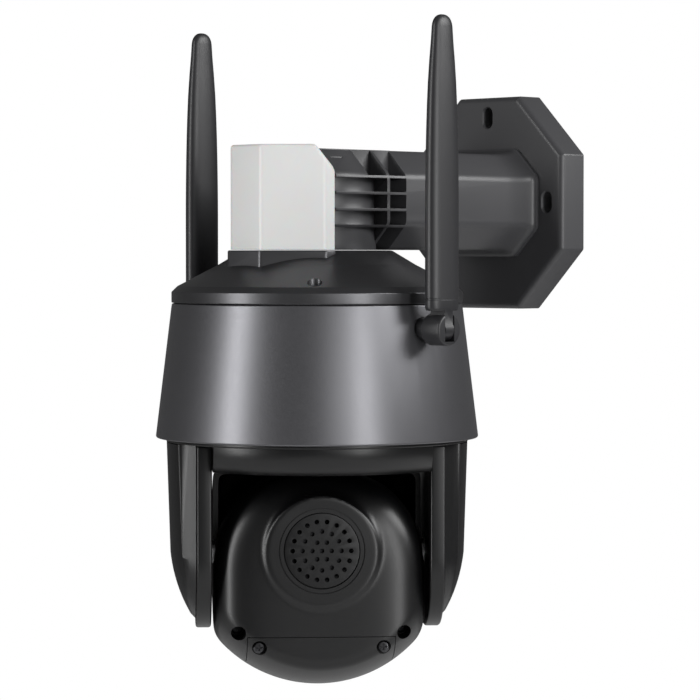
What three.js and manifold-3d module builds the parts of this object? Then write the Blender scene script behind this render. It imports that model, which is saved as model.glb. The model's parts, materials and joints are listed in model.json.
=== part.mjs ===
// Pan and tilt security camera on a wall bracket, with two antennas and a signal lamp.
// Millimetres, +Z up. The origin is the centre of the wall plate's back face and +Y goes
// into the wall, so the head hangs on the -Y side. +X is the side of the right antenna.
import * as THREE from 'three';
import { mergeVertices } from 'three/addons/utils/BufferGeometryUtils.js';
import Module from 'manifold-3d';

const wasm = await Module();
wasm.setup();

// ---- Driving sizes: clearances ----
const seam = 0.3; // between pieces that touch
const swing = 1.3; // between the ball and the yoke arms
const cut = 1; // how far a cutting shape passes the face it cuts

// ---- Driving sizes: wall plate and arm ----
const reach = 133; // wall face to pan axis
const plateHalfWidth = 49;
const plateHalfHeight = 52;
const plateChamfer = 29;
const plateDepth = 16;
const plateWall = 3.6;
const plateEdge = 3.5; // rounding of the front edge
const slotWidth = 5.8;
const slotLength = 10;
const slotInset = 10; // slot centre to the plate's edge
const slotSleeve = 2.2; // wall round each slot
const backBoss = 8; // radius of the flat pad where the back ribs cross
const backRib = 3;
const armHalfWidth = 31;
const armHalfHeight = 23.25;
const armChamfer = 12;
const armWall = 4;
const rootFlare = 3.4; // how far the arm's foot stands out
const rootDepth = 4;
const armScrewHeight = 15;
const cableHoleRadius = 6;
const cableHoleSide = 16.5;
const neckRadius = 27.5;
const pocketBack = 28; // end wall of the ribbed pockets, from the pan axis
const pocketFront = 17.6; // open end of the pockets, on the other side of the axis
const panelBack = 3; // smooth panels on the upper chamfers end here
const ribThickness = 1.2;
const ribHeights = [10.2, 2.4, -5.3, -12.4];
const crossRib = 15.4;
const crossRibThickness = 1.8;

// ---- Driving sizes: signal lamp on the arm's end ----
const lampLength = 27.4;
const lampCorner = 20.8;
const lampRise = 1.5; // how far its top stands above the arm
const lampTopChamfer = [13, 12];
const lampChamferRun = 13.5; // the chamfers run out this far from the back
const lampWall = 2.2;

// ---- Driving sizes: head ----
const capTopRadius = 35;
const capKnee = [46, 6.6]; // radius and drop where the slope eases
const capShoulder = [65.2, 16.6];
const capRimDrop = 19.3;
const capRimHeight = 5;
const capWall = 2.6;
const pedestalMargin = 1.4;
const pedestalDepth = 14;
const skirtTopRadius = 67.8;
const skirtHeight = 62.5;
const skirtWall = 2.6;
const skirtOverhang = 4.7; // beyond the yoke disc
const lipWidth = 11;
const lipThickness = 2.5;
const sealThickness = 0.7;
const screwRadius = 1.5;
const screwHeadRadius = 2.8;
const screwHeadHeight = 2;
const capScrewLength = 15;
const bossRadius = 4.6;
const capScrewInset = 6.7; // from the top of the skirt's rim to the screw's axis
const baseThickness = 3;
const baseRise = 6.4; // underside of the base plate above the skirt's foot

// ---- Driving sizes: parts inside the head ----
const boardRadius = 54;
const boardThickness = 1.6;
const boardGap = 3; // between the cells and the board
const cellRadius = 9.2;
const cellLength = 65;
const cellGap = 0.6;
const spindleRadius = 10;
const spindleBore = 6;
const bearingRadius = 15.7;
const bearingHeight = 6.4;
const panModule = 1.1;
const panGearTeeth = 56;
const panPinionTeeth = 14;
const panGearWidth = 5.5;
const panMotorRadius = 13;
const panMotorHeight = 15;
const motorShaftRadius = 2;

// ---- Driving sizes: antennas ----
const antennaDrop = 11; // barrel axis under the top of the skirt
const stubRadius = 5.2;
const nutRadius = 8;
const barrelRadius = 7.25;
const barrelOffset = 11.4; // hinge pin beyond the skirt
const barrelEnd = 4.9; // barrel's end beyond the pin
const barrelStart = 6.4; // barrel's start before the pin
const hingeSlot = 6;
const tongueRadius = 5;
const hingePinRadius = 1.2;
const bladeLength = 141; // pin to tip
const bladeHalfWidth = 9.3;
const bladeFlatness = 0.5; // thickness over width
const bladeFoot = 8.5; // lower end of the blade above the pin

// ---- Driving sizes: yoke ----
const yokeRise = 3.3; // how far the disc goes up into the skirt
const yokeRimHeight = 5;
const bowlDepth = 12.4;
const armThickness = 7;
const coverDepth = 13.7;
const coverWall = 2.2;
const paddleHalfWidth = 35.5;
const coverHalfWidth = 31;
const bushRadius = 8;

// ---- Driving sizes: ball ----
const ballHalfWidth = 48.7;
const ballRadius = 62;
const ballWall = 2.4;
const ballRear = 36.8; // back of the ball behind the tilt axis
const domeRadius = 47.5;
const domeDrop = 9; // centre of the dome under the tilt axis
const ballSquareness = 3; // 2 would make the back a plain ellipsoid
const ceilingGap = 0.8;
const tiltShaftRadius = 5.5;
const tiltFlangeRadius = 7;
const tiltFlangeInset = 4.4; // from the shell's flat side to the flange
const tiltModule = 0.8;
const tiltGearTeeth = 42;
const tiltPinionTeeth = 14;
const tiltGearWidth = 3;
const tiltMotorRadius = 10;
const tiltMotorDepth = 6;
const grilleRadius = 17.3;
const grilleThickness = 1.6;
const grilleBossRadius = 25.7;
const grilleProud = 0.9; // how far the grille's boss stands out of the ball's back
const grilleRise = 3.4; // centre of the grille above the tilt axis
const grilleHoleRadius = 1.1;
const grilleRings = [[1, 0], [6, 4.4], [12, 8.9], [18, 13.4]];
const cardCoverHalfWidth = 33.8;
const cardCoverTop = 36.4; // seam under the tilt axis
const cardCoverReach = 14; // front end of the cover behind the tilt axis
const cardPocket = 2.6; // space under the cover
const tubWall = 2;
const shellScrewPlace = [38, 34.6];
const cardScrewPlace = [28.5, 41.2];
const windowRadius = 27;
const windowThickness = 2;
const windowInset = 8.5; // outer face behind the sphere's front
const lensRadius = 9;
const cardWidth = 11;
const cardLength = 15;
const cardThickness = 1;
const buttonRadius = 1.8;
const buttonLength = 5;
const buttonTravel = 0.6;
const buttonSide = 12; // button and card stand this far to each side
const pocketAngle = 52; // direction of the pocket's centre, under the horizontal
const panAtRest = 49.4; // degrees from +Y to the lens direction, counter-clockwise from above

// ---- Heights, from the arm's centreline ----
const armBottom = -armHalfHeight;
const capTop = armBottom - seam;
const capRimTop = capTop - capRimDrop;
const capFoot = capRimTop - capRimHeight;
const skirtTop = capFoot - seam;
const skirtFoot = skirtTop - skirtHeight;
const antennaHeight = skirtTop - antennaDrop;
const baseBottom = skirtFoot + baseRise;
const baseTop = baseBottom + baseThickness;
const yokeTop = skirtFoot + yokeRise;
const yokeRimFoot = yokeTop - yokeRimHeight;
const ceiling = yokeRimFoot - bowlDepth;
const ballTop = domeRadius - domeDrop;
const tiltHeight = ceiling - ceilingGap - ballTop;
const panGearFoot = baseTop + 2.5;
const cellFoot = panGearFoot + panGearWidth + 1.5;
const boardTop = cellFoot + 2 * cellRadius + boardGap + boardThickness;

// ---- Widths that follow from the ball ----
const armInner = ballHalfWidth + swing;
const armOuter = armInner + armThickness;
const yokeRadius = armOuter + coverDepth;
const skirtFootRadius = yokeRadius + skirtOverhang;
const gearPlane = armOuter + 1;
const panCentres = (panGearTeeth + panPinionTeeth) * panModule / 2;
const tiltCentres = (tiltGearTeeth + tiltPinionTeeth) * tiltModule / 2;

// ---- Materials ----
function finish(color, roughness, metalness = 0) {
  return new THREE.MeshStandardMaterial({ color, roughness, metalness });
}
const greyPaint = () => finish(0x6e6e70, 0.42, 0.2);
const darkPlastic = () => finish(0x3f3f41, 0.5);
const blackPlastic = () => finish(0x222224, 0.38);
const frosted = () => finish(0xd2d3d5, 0.5);
const steel = () => finish(0x9a9a9c, 0.3, 1);
const blackSteel = () => finish(0x2a2a2c, 0.35, 1);
const rubber = () => finish(0x18181a, 0.85);
const circuit = () => finish(0x1f5a38, 0.5);
const acetal = () => finish(0xe6e4dc, 0.5);
const foil = () => finish(0x3c6fa8, 0.4);
const darkGlass = () => finish(0x0c0c10, 0.05);

// ---- Helpers ----
function signedVolume(position, index) {
  const [a, b, c] = [new THREE.Vector3(), new THREE.Vector3(), new THREE.Vector3()];
  let total = 0;
  for (let i = 0; i < index.length; i += 3) {
    a.fromBufferAttribute(position, index[i]);
    b.fromBufferAttribute(position, index[i + 1]);
    c.fromBufferAttribute(position, index[i + 2]);
    total += a.dot(b.cross(c));
  }
  return total;
}

// A closed solid with shared vertices, no collapsed triangles and its faces outwards.
function solidOf(geometry) {
  const bare = geometry.clone();
  bare.deleteAttribute('normal');
  bare.deleteAttribute('uv');
  const merged = mergeVertices(bare, 1e-4);
  const position = merged.attributes.position;
  const index = merged.index.array;
  const inward = signedVolume(position, index) < 0;
  const triangles = [];
  for (let i = 0; i < index.length; i += 3) {
    const [a, b, c] = index.slice(i, i + 3);
    if (a !== b && b !== c && c !== a) triangles.push(a, inward ? c : b, inward ? b : c);
  }
  const vertProperties = new Float32Array(position.array);
  const triVerts = new Uint32Array(triangles);
  return new wasm.Manifold(new wasm.Mesh({ numProp: 3, vertProperties, triVerts }));
}

function geometryOf(solid) {
  const { vertProperties, triVerts } = solid.getMesh();
  const geometry = new THREE.BufferGeometry();
  geometry.setAttribute('position', new THREE.Float32BufferAttribute(vertProperties, 3));
  geometry.setIndex(new THREE.Uint32BufferAttribute(triVerts, 1));
  geometry.computeVertexNormals();
  return geometry;
}

const turns = {
  x: new THREE.Matrix4().set(0, 0, 1, 0, 1, 0, 0, 0, 0, 1, 0, 0, 0, 0, 0, 1),
  y: new THREE.Matrix4().makeRotationX(Math.PI / 2),
  z: new THREE.Matrix4(),
};

// An outline pushed along an axis. Across x it lies in (y, z), across y in (x, z).
function prism(outline, axis, from, to) {
  const depth = to - from;
  const geometry = new THREE.ExtrudeGeometry(outline, { depth, bevelEnabled: false, curveSegments: 10 });
  geometry.applyMatrix4(turns[axis]);
  if (axis === 'x') geometry.translate(from, 0, 0);
  if (axis === 'y') geometry.translate(0, to, 0);
  if (axis === 'z') geometry.translate(0, 0, from);
  return solidOf(geometry);
}

// A prism with both ends' edges rounded.
function roundedPrism(outline, axis, from, to, edge) {
  const geometry = new THREE.ExtrudeGeometry(outline, {
    depth: to - from - 2 * edge,
    bevelThickness: edge,
    bevelSize: edge,
    bevelOffset: -edge,
    bevelSegments: 3,
  });
  geometry.applyMatrix4(turns[axis]);
  if (axis === 'x') geometry.translate(from + edge, 0, 0);
  if (axis === 'y') geometry.translate(0, to - edge, 0);
  if (axis === 'z') geometry.translate(0, 0, from + edge);
  return solidOf(geometry);
}

// A round bar along an axis; centre gives the other two coordinates in x, y, z order.
function rod(radius, axis, from, to, centre = [0, 0], sides = 20) {
  const geometry = new THREE.CylinderGeometry(radius, radius, to - from, sides);
  const middle = (from + to) / 2;
  if (axis === 'x') geometry.rotateZ(Math.PI / 2).translate(middle, centre[0], centre[1]);
  if (axis === 'y') geometry.translate(centre[0], middle, centre[1]);
  if (axis === 'z') geometry.rotateX(Math.PI / 2).translate(centre[0], centre[1], middle);
  return solidOf(geometry);
}

function box(x, y, z) {
  const geometry = new THREE.BoxGeometry(x[1] - x[0], y[1] - y[0], z[1] - z[0]);
  geometry.translate((x[0] + x[1]) / 2, (y[0] + y[1]) / 2, (z[0] + z[1]) / 2);
  return solidOf(geometry);
}

// A turned solid from closed [radius, height] points.
function turned(points, sides = 36) {
  const profile = points.map(([radius, height]) => new THREE.Vector2(radius, height));
  return solidOf(new THREE.LatheGeometry(profile, sides).rotateX(Math.PI / 2));
}

function ring(inner, outer, from, to, sides = 32) {
  return turned([[inner, from], [outer, from], [outer, to], [inner, to], [inner, from]], sides);
}

function outline(points) {
  return new THREE.Shape(points.map(([x, y]) => new THREE.Vector2(x, y)));
}

function octagon(halfWidth, halfHeight, chamfer) {
  const w = halfWidth - chamfer;
  const h = halfHeight - chamfer;
  return outline([
    [halfWidth, -h], [halfWidth, h], [w, halfHeight], [-w, halfHeight],
    [-halfWidth, h], [-halfWidth, -h], [-w, -halfHeight], [w, -halfHeight],
  ]);
}

// An octagon moved in by a wall: its chamfers shorten by the wall times 2 - sqrt(2).
function innerOctagon(halfWidth, halfHeight, chamfer, wall) {
  return octagon(halfWidth - wall, halfHeight - wall, chamfer - wall * (2 - Math.SQRT2));
}

// A slot with round ends, upright, centred on a point of its plane.
function slot(x, z, width, length) {
  const half = width / 2;
  const straight = length / 2 - half;
  const shape = new THREE.Shape();
  shape.moveTo(x + half, z - straight);
  shape.lineTo(x + half, z + straight);
  shape.absarc(x, z + straight, half, 0, Math.PI);
  shape.lineTo(x - half, z - straight);
  shape.absarc(x, z - straight, half, Math.PI, 2 * Math.PI);
  return shape;
}

// A spur gear's outline, with straight flanks inside the involute's. A tooth or a gap stands at angle start.
function gearOutline(teeth, module, start, bore) {
  const pitch = teeth * module / 2;
  const base = pitch * Math.cos(THREE.MathUtils.degToRad(20));
  const tip = pitch + 0.8 * module;
  const root = pitch - 1.1 * module;
  const roll = (radius) => {
    const tangent = Math.sqrt(Math.max(0, (radius / base) ** 2 - 1));
    return tangent - Math.atan(tangent);
  };
  const halfTooth = 0.9 * Math.PI / (2 * teeth);
  const radii = [root, tip];
  const points = [];
  for (let tooth = 0; tooth < teeth; tooth += 1) {
    const middle = start + tooth * 2 * Math.PI / teeth;
    const flank = radii.map((radius) => [radius, halfTooth + roll(pitch) - roll(radius)]);
    const rising = flank.map(([radius, half]) => [radius, middle - half]);
    const falling = flank.map(([radius, half]) => [radius, middle + half]).reverse();
    for (const [radius, angle] of [...rising, ...falling]) {
      points.push([radius * Math.cos(angle), radius * Math.sin(angle)]);
    }
  }
  const shape = outline(points);
  shape.holes.push(new THREE.Path().absarc(0, 0, bore, 0, 2 * Math.PI, true));
  return shape;
}

// A screw standing on its point: shank below its seat at height 0, head above.
function screw(length, radius = screwRadius, headRadius = screwHeadRadius) {
  return turned([
    [0, -length], [radius, -length], [radius, 0], [headRadius, 0],
    [headRadius, 0.7 * screwHeadHeight], [0.8 * headRadius, screwHeadHeight], [0, screwHeadHeight],
  ], 10);
}

function mesh(name, solid, material) {
  const piece = new THREE.Mesh(geometryOf(solid), material);
  piece.name = name;
  return piece;
}

const camera = new THREE.Group();

// ---- Wall plate: an octagonal tray with slots for wall screws ----
function wallPlate() {
  const outer = roundedPrism(
    octagon(plateHalfWidth, plateHalfHeight, plateChamfer), 'y', -plateDepth, plateDepth, plateEdge);
  const inFront = box([-200, 200], [-2 * plateDepth, 0], [-200, 200]);
  const hollow = prism(
    innerOctagon(plateHalfWidth, plateHalfHeight, plateChamfer, plateWall),
    'y', -plateDepth + plateWall, cut);
  const slotsAt = [
    [0, plateHalfHeight - slotInset],
    [plateHalfWidth - slotInset, 0],
    [-plateHalfWidth + slotInset, 0],
  ];
  let plate = outer.intersect(inFront).subtract(hollow);
  const ribs = [
    box([-backRib / 2, backRib / 2], [-plateDepth + plateWall / 2, 0], [-plateHalfHeight + 1, 28]),
    rod(backBoss, 'y', -plateDepth + plateWall / 2, 0),
  ];
  ribs.forEach((rib) => { plate = plate.add(rib); });
  // Each slot runs through a sleeve that reaches the wall, so a tight screw can't bend the tray.
  for (const [x, z] of slotsAt) {
    const sleeve = slot(x, z, slotWidth + 2 * slotSleeve, slotLength + 2 * slotSleeve);
    plate = plate.add(prism(sleeve, 'y', -plateDepth + plateWall / 2, 0));
  }
  for (const [x, z] of slotsAt) {
    plate = plate.subtract(prism(slot(x, z, slotWidth, slotLength), 'y', -plateDepth - cut, cut));
  }
  // The cable comes out of the arm beside the middle rib.
  plate = plate.subtract(rod(cableHoleRadius, 'y', -plateDepth - cut, cut, [cableHoleSide, 0]));
  for (const side of [-1, 1]) {
    const shank = rod(screwRadius + seam, 'y', -plateDepth - cut, cut, [0, side * armScrewHeight], 10);
    const head = rod(screwHeadRadius + seam, 'y', -plateDepth + plateWall, cut, [0, side * armScrewHeight], 10);
    plate = plate.subtract(shank).subtract(head);
  }
  return plate;
}

camera.add(mesh('wall_plate', wallPlate(), darkPlastic()));

// ---- Bracket arm: an octagonal tube that ends in a ribbed block round the neck ----
function bracketArm() {
  const section = octagon(armHalfWidth, armHalfHeight, armChamfer);
  const inner = innerOctagon(armHalfWidth, armHalfHeight, armChamfer, armWall);
  const foot = -plateDepth - seam;
  const pocketEnd = -reach + pocketBack;
  const tip = -reach - pocketFront;
  const tube = prism(section, 'y', pocketEnd, foot);
  const duct = prism(inner, 'y', pocketEnd + armWall, foot - armWall);
  const flare = roundedPrism(
    octagon(armHalfWidth + rootFlare, armHalfHeight + rootFlare, armChamfer + rootFlare / 2),
    'y', foot - rootDepth, foot + rootDepth, rootDepth * 0.6);
  const wallSide = box([-200, 200], [-200, foot], [-200, 200]);
  let arm = tube.add(flare.intersect(wallSide)).subtract(duct);
  const whole = prism(section, 'y', tip, pocketEnd + cut);
  const deckHalf = armHalfWidth - armChamfer;
  const core = rod(neckRadius, 'z', armBottom, ribHeights[0], [0, -reach], 32)
    .intersect(box([-200, 200], [tip, 0], [-200, 200]));
  const deck = box([-deckHalf, deckHalf], [tip, pocketEnd + cut], [ribHeights[0] - cut, armHalfHeight]);
  const panels = whole.intersect(
    box([-200, 200], [tip, -reach + panelBack], [ribHeights[0], armHalfHeight]));
  arm = arm.add(core).add(deck).add(panels);
  for (const height of ribHeights) {
    const layer = box([-200, 200], [tip, 0], [height - ribThickness / 2, height + ribThickness / 2]);
    arm = arm.add(whole.intersect(layer));
  }
  const acrossAt = -reach + crossRib;
  const across = box([-200, 200], [acrossAt, acrossAt + crossRibThickness], [-200, 200]);
  arm = arm.add(whole.intersect(across));
  // The cable's way from the head: up the neck, then along the tube to the plate.
  const neckBore = rod(spindleBore, 'z', armBottom - cut, 0, [0, -reach]);
  const along = rod(spindleBore, 'y', -reach, pocketEnd + 2 * armWall, [0, -spindleBore / 2]);
  arm = arm.subtract(neckBore).subtract(along);
  arm = arm.subtract(rod(cableHoleRadius, 'y', foot - 2 * armWall, cut, [cableHoleSide, 0]));
  for (const side of [-1, 1]) {
    const pilot = rod(screwRadius + seam, 'y', foot - 2 * armWall, cut, [0, side * armScrewHeight], 10);
    arm = arm.subtract(pilot);
  }
  return arm;
}

camera.add(mesh('bracket_arm', bracketArm(), darkPlastic()));

// ---- Screws that hold the arm on the plate, from behind, and the cable grommet ----
for (const [name, side] of [['arm_screw_upper', 1], ['arm_screw_lower', -1]]) {
  const piece = mesh(name, screw(plateWall + 3), steel());
  piece.rotation.x = -Math.PI / 2;
  piece.position.set(0, -plateDepth + plateWall + seam, side * armScrewHeight);
  camera.add(piece);
}

function cableGrommet() {
  const wall = 1.6;
  const bodyRadius = cableHoleRadius - seam;
  return turned([
    [bodyRadius - wall, 0], [bodyRadius + wall, 0], [bodyRadius + wall, wall], [bodyRadius, wall],
    [bodyRadius, wall + plateWall], [bodyRadius - wall, wall + plateWall], [bodyRadius - wall, 0],
  ], 16);
}

const grommet = mesh('cable_grommet', cableGrommet(), rubber());
grommet.rotation.x = Math.PI / 2;
grommet.position.set(cableHoleSide, -plateDepth + plateWall + seam + 1.6, 0);
camera.add(grommet);

// ---- Head: everything round the pan axis ----
const head = new THREE.Group();
head.position.y = -reach;
camera.add(head);

// The lamp's plan, a block with two corners cut off, its back against the arm's end.
function lampPlan(margin) {
  const back = -pocketFront - seam + Math.min(0, margin);
  const front = -pocketFront - seam - lampLength - margin;
  const half = armHalfWidth + margin;
  const leg = lampCorner + margin * (2 - Math.SQRT2);
  return outline([
    [half, back], [half, front + leg], [half - leg, front],
    [-half + leg, front], [-half, front + leg], [-half, back],
  ].reverse());
}

// Its two top chamfers match the arm's at the back and run out towards the front.
function lampBody(margin) {
  const top = armHalfHeight + lampRise + margin;
  const half = armHalfWidth + margin;
  const back = -pocketFront - seam;
  const runOut = back - lampChamferRun;
  const front = back - lampLength - cut;
  const [across, down] = lampTopChamfer;
  const corners = [-1, 1].flatMap((side) => [
    [side * half, back, armBottom], [side * half, back, top - down],
    [side * (half - across), back, top], [side * half, runOut, top],
    [side * half, front, top], [side * half, front, armBottom],
  ]);
  return prism(lampPlan(margin), 'z', armBottom, top + cut)
    .intersect(wasm.Manifold.hull(corners));
}

function lampCover() {
  const inside = lampBody(-lampWall).add(
    prism(lampPlan(-lampWall), 'z', armBottom - cut, armBottom + cut));
  return lampBody(0).subtract(inside);
}

function lampBoard() {
  const boardBack = -pocketFront - lampWall - 2;
  const ledHeight = 2;
  let board = box([-24, 24], [boardBack - boardThickness, boardBack], [armBottom + cut, 8]);
  for (const x of [-16, 0, 16]) {
    for (const z of [-12, 0]) {
      const face = boardBack - boardThickness;
      board = board.add(box([x - 2.5, x + 2.5], [face - ledHeight, face + 0.5], [z - 2.5, z + 2.5]));
    }
  }
  return board;
}

head.add(mesh('light_cover', lampCover(), frosted()));
head.add(mesh('light_board', lampBoard(), circuit()));

// ---- Cap: a sloping lid with a pedestal under the lamp ----
const screwCircle = skirtTopRadius - capScrewInset;
const screwSpots = [45, 135, 225, 315].map((degrees) => {
  const angle = THREE.MathUtils.degToRad(degrees);
  return [screwCircle * Math.cos(angle), screwCircle * Math.sin(angle)];
});
const capSeat = capRimTop + 1.2; // where the cap screws' heads bear

function topCap() {
  const [kneeRadius, kneeDrop] = capKnee;
  const [shoulderRadius, shoulderDrop] = capShoulder;
  const rim = skirtTopRadius + 0.2;
  const outer = turned([
    [0, capTop], [capTopRadius, capTop], [kneeRadius, capTop - kneeDrop],
    [shoulderRadius, capTop - shoulderDrop], [rim - 0.8, capRimTop + 1], [rim, capRimTop],
    [rim, capFoot], [0, capFoot],
  ]);
  const inner = turned([
    [0, capTop - capWall], [capTopRadius - 1, capTop - capWall],
    [kneeRadius - 1, capTop - kneeDrop - capWall], [shoulderRadius - 2, capTop - shoulderDrop - capWall],
    [rim - capWall, capRimTop - capWall], [rim - capWall, capFoot - cut], [0, capFoot - cut],
  ]);
  const pedestal = prism(lampPlan(pedestalMargin), 'z', capTop - pedestalDepth, capTop);
  let cap = outer.add(pedestal).subtract(inner);
  for (const spot of screwSpots) {
    const boss = rod(bossRadius, 'z', capFoot + sealThickness + seam, capSeat, spot, 12)
      .intersect(outer);
    const recess = rod(screwHeadRadius + 2 * seam, 'z', capSeat, capTop, spot, 12);
    const shank = rod(screwRadius + seam, 'z', capFoot - cut, capTop, spot, 10);
    cap = cap.add(boss).subtract(recess).subtract(shank);
  }
  return cap.subtract(rod(spindleBore, 'z', capTop - 2 * capWall, capTop + cut));
}

head.add(mesh('top_cap', topCap(), darkPlastic()));

function capSeal() {
  const outer = skirtTopRadius - capWall - 2 * seam;
  let seal = ring(outer - lipWidth + 4, outer, capFoot, capFoot + sealThickness, 36);
  for (const spot of screwSpots) {
    seal = seal.subtract(rod(screwRadius + seam, 'z', capFoot - cut, capTop, spot, 10));
  }
  return seal;
}

head.add(mesh('cap_seal', capSeal(), rubber()));

screwSpots.forEach(([x, y], i) => {
  const piece = mesh(`cap_screw_${i + 1}`, screw(capScrewLength), blackSteel());
  piece.position.set(x, y, capSeat + seam);
  head.add(piece);
});

// ---- Skirt: the conical housing, open at its foot ----
function skirtRadiusAt(height) {
  const share = (skirtTop - height) / skirtHeight;
  return skirtTopRadius + (skirtFootRadius - skirtTopRadius) * share;
}

function skirtHousing() {
  const lipInner = skirtTopRadius - lipWidth;
  const lipFoot = skirtTop - lipThickness;
  let skirt = turned([
    [lipInner, skirtTop], [skirtTopRadius, skirtTop], [skirtFootRadius, skirtFoot],
    [skirtFootRadius - skirtWall, skirtFoot], [skirtRadiusAt(lipFoot) - skirtWall, lipFoot],
    [lipInner, lipFoot], [lipInner, skirtTop],
  ]);
  const wallInside = turned([
    [0, skirtTop + cut], [skirtRadiusAt(skirtTop + cut) - 1, skirtTop + cut],
    [skirtFootRadius - 1, skirtFoot], [0, skirtFoot],
  ]);
  for (const spot of screwSpots) {
    const boss = rod(bossRadius, 'z', skirtTop - capScrewLength + 1, skirtTop - 0.5, spot, 12);
    const pilot = rod(screwRadius + seam, 'z', skirtTop - capScrewLength - cut, skirtTop + cut, spot, 10);
    skirt = skirt.add(boss.intersect(wallInside)).subtract(pilot);
  }
  const antennaHoles = rod(
    stubRadius + seam, 'x', -skirtFootRadius - cut, skirtFootRadius + cut, [0, antennaHeight]);
  return skirt.subtract(antennaHoles);
}

head.add(mesh('skirt_housing', skirtHousing(), greyPaint()));

// ---- Base plate, bearing, board, cells and pan motor inside the skirt ----
const panMotorPlace = [0, -panCentres];

function basePlate() {
  const radius = skirtRadiusAt(baseTop) - skirtWall - 2 * seam;
  const plate = rod(radius, 'z', baseBottom, baseTop, [0, 0], 36);
  const seat = rod(bearingRadius + 2.4, 'z', baseBottom, baseTop + 1.6, [0, 0], 36);
  return plate.add(seat).subtract(rod(bearingRadius + seam, 'z', skirtFoot, capFoot, [0, 0], 36));
}

head.add(mesh('base_plate', basePlate(), darkPlastic()));
head.add(mesh('pan_bearing', ring(
  spindleRadius + seam, bearingRadius, baseBottom - 1, baseBottom - 1 + bearingHeight), steel()));

function mainBoard() {
  const top = boardTop;
  const board = rod(boardRadius, 'z', top - boardThickness, top, [0, 0], 36);
  const chips = [[[-18, -2], [-14, 2]], [[6, 20], [-20, -6]], [[8, 30], [10, 22]]];
  let populated = board.subtract(rod(spindleRadius, 'z', skirtFoot, capFoot));
  chips.forEach(([x, y]) => { populated = populated.add(box(x, y, [top - 0.5, top + 3])); });
  return populated;
}

head.add(mesh('main_board', mainBoard(), circuit()));

for (let i = 0; i < 3; i += 1) {
  const cell = rod(cellRadius, 'x', -cellLength / 2, cellLength / 2, [0, 0], 24);
  const piece = mesh(`battery_cell_${i + 1}`, cell, foil());
  piece.position.y = panMotorPlace[1] + panMotorRadius + 3 + cellRadius + i * (2 * cellRadius + cellGap);
  piece.position.z = cellFoot + cellRadius;
  head.add(piece);
}

function panMotor() {
  const foot = panGearFoot + panGearWidth + 2;
  const flange = 1.5;
  const legSpread = panMotorRadius + 4.5;
  const can = rod(panMotorRadius, 'z', foot, foot + panMotorHeight);
  const ears = box([-legSpread - 3, legSpread + 3], [-4, 4], [foot, foot + flange]);
  const shaft = rod(motorShaftRadius, 'z', panGearFoot, foot + 1, [0, 0], 16);
  let motor = can.add(ears).add(shaft);
  for (const side of [-1, 1]) {
    motor = motor.add(rod(2.5, 'z', baseTop + seam, foot + 1, [side * legSpread, 0], 16));
  }
  return motor;
}

const panMotorPiece = mesh('pan_motor', panMotor(), steel());
panMotorPiece.position.set(panMotorPlace[0], panMotorPlace[1], 0);
head.add(panMotorPiece);

const panPinionPiece = mesh('pan_pinion', prism(
  gearOutline(panPinionTeeth, panModule, Math.PI / 2 + Math.PI / panPinionTeeth, motorShaftRadius + seam),
  'z', panGearFoot, panGearFoot + panGearWidth), acetal());
panPinionPiece.position.set(panMotorPlace[0], panMotorPlace[1], 0);
head.add(panPinionPiece);

// ---- Antennas: a barrel that swivels in the skirt and a blade that folds on a pin ----
function antennaNut(pinPlace) {
  const nutFace = skirtRadiusAt(antennaHeight + nutRadius) - skirtWall - seam;
  const hexagon = new THREE.CylinderGeometry(nutRadius, nutRadius, 3, 6).rotateZ(Math.PI / 2);
  hexagon.translate(nutFace - 1.5 - pinPlace, 0, 0);
  return solidOf(hexagon).subtract(rod(stubRadius + seam - 0.8, 'x', -40, 40));
}

function antennaBase(pinPlace) {
  const inside = skirtRadiusAt(antennaHeight) - skirtWall - 6 - pinPlace;
  const stub = rod(stubRadius, 'x', inside + 5.5, -barrelStart + 1);
  const thread = rod(stubRadius - 0.8, 'x', inside, inside + 6);
  const barrel = rod(barrelRadius, 'x', -barrelStart, barrelEnd);
  const hinge = box([-tongueRadius - 0.4, barrelEnd + cut], [-hingeSlot / 2, hingeSlot / 2],
    [-tongueRadius - 0.4, barrelRadius + cut]);
  return stub.add(thread).add(barrel).subtract(hinge)
    .subtract(rod(hingePinRadius + seam, 'y', -barrelRadius - cut, barrelRadius + cut, [0, 0], 10));
}

// The blade is a flattened turned shape: straight, then narrowing to a round tip.
function antennaBlade() {
  const profile = [
    [0, bladeFoot], [0.94, bladeFoot], [1, bladeFoot + 2], [1, bladeLength - 84],
    [0.96, bladeLength - 58], [0.86, bladeLength - 34], [0.7, bladeLength - 15],
    [0.58, bladeLength - 6], [0.4, bladeLength - 2], [0.18, bladeLength - 0.4], [0, bladeLength],
  ];
  const points = profile.map(([share, height]) => new THREE.Vector2(share * bladeHalfWidth, height));
  const blade = new THREE.LatheGeometry(points, 16).rotateX(Math.PI / 2);
  blade.scale(bladeFlatness, 1, 1);
  const half = hingeSlot / 2 - seam;
  const tongue = rod(tongueRadius, 'y', -half, half, [0, 0], 24);
  const neckHalf = bladeHalfWidth * bladeFlatness - 0.3;
  const neck = box([-neckHalf, neckHalf], [-half, half], [0, bladeFoot + 2]);
  return solidOf(blade).add(tongue).add(neck)
    .subtract(rod(hingePinRadius + seam, 'y', -barrelRadius, barrelRadius, [0, 0], 10));
}

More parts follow.
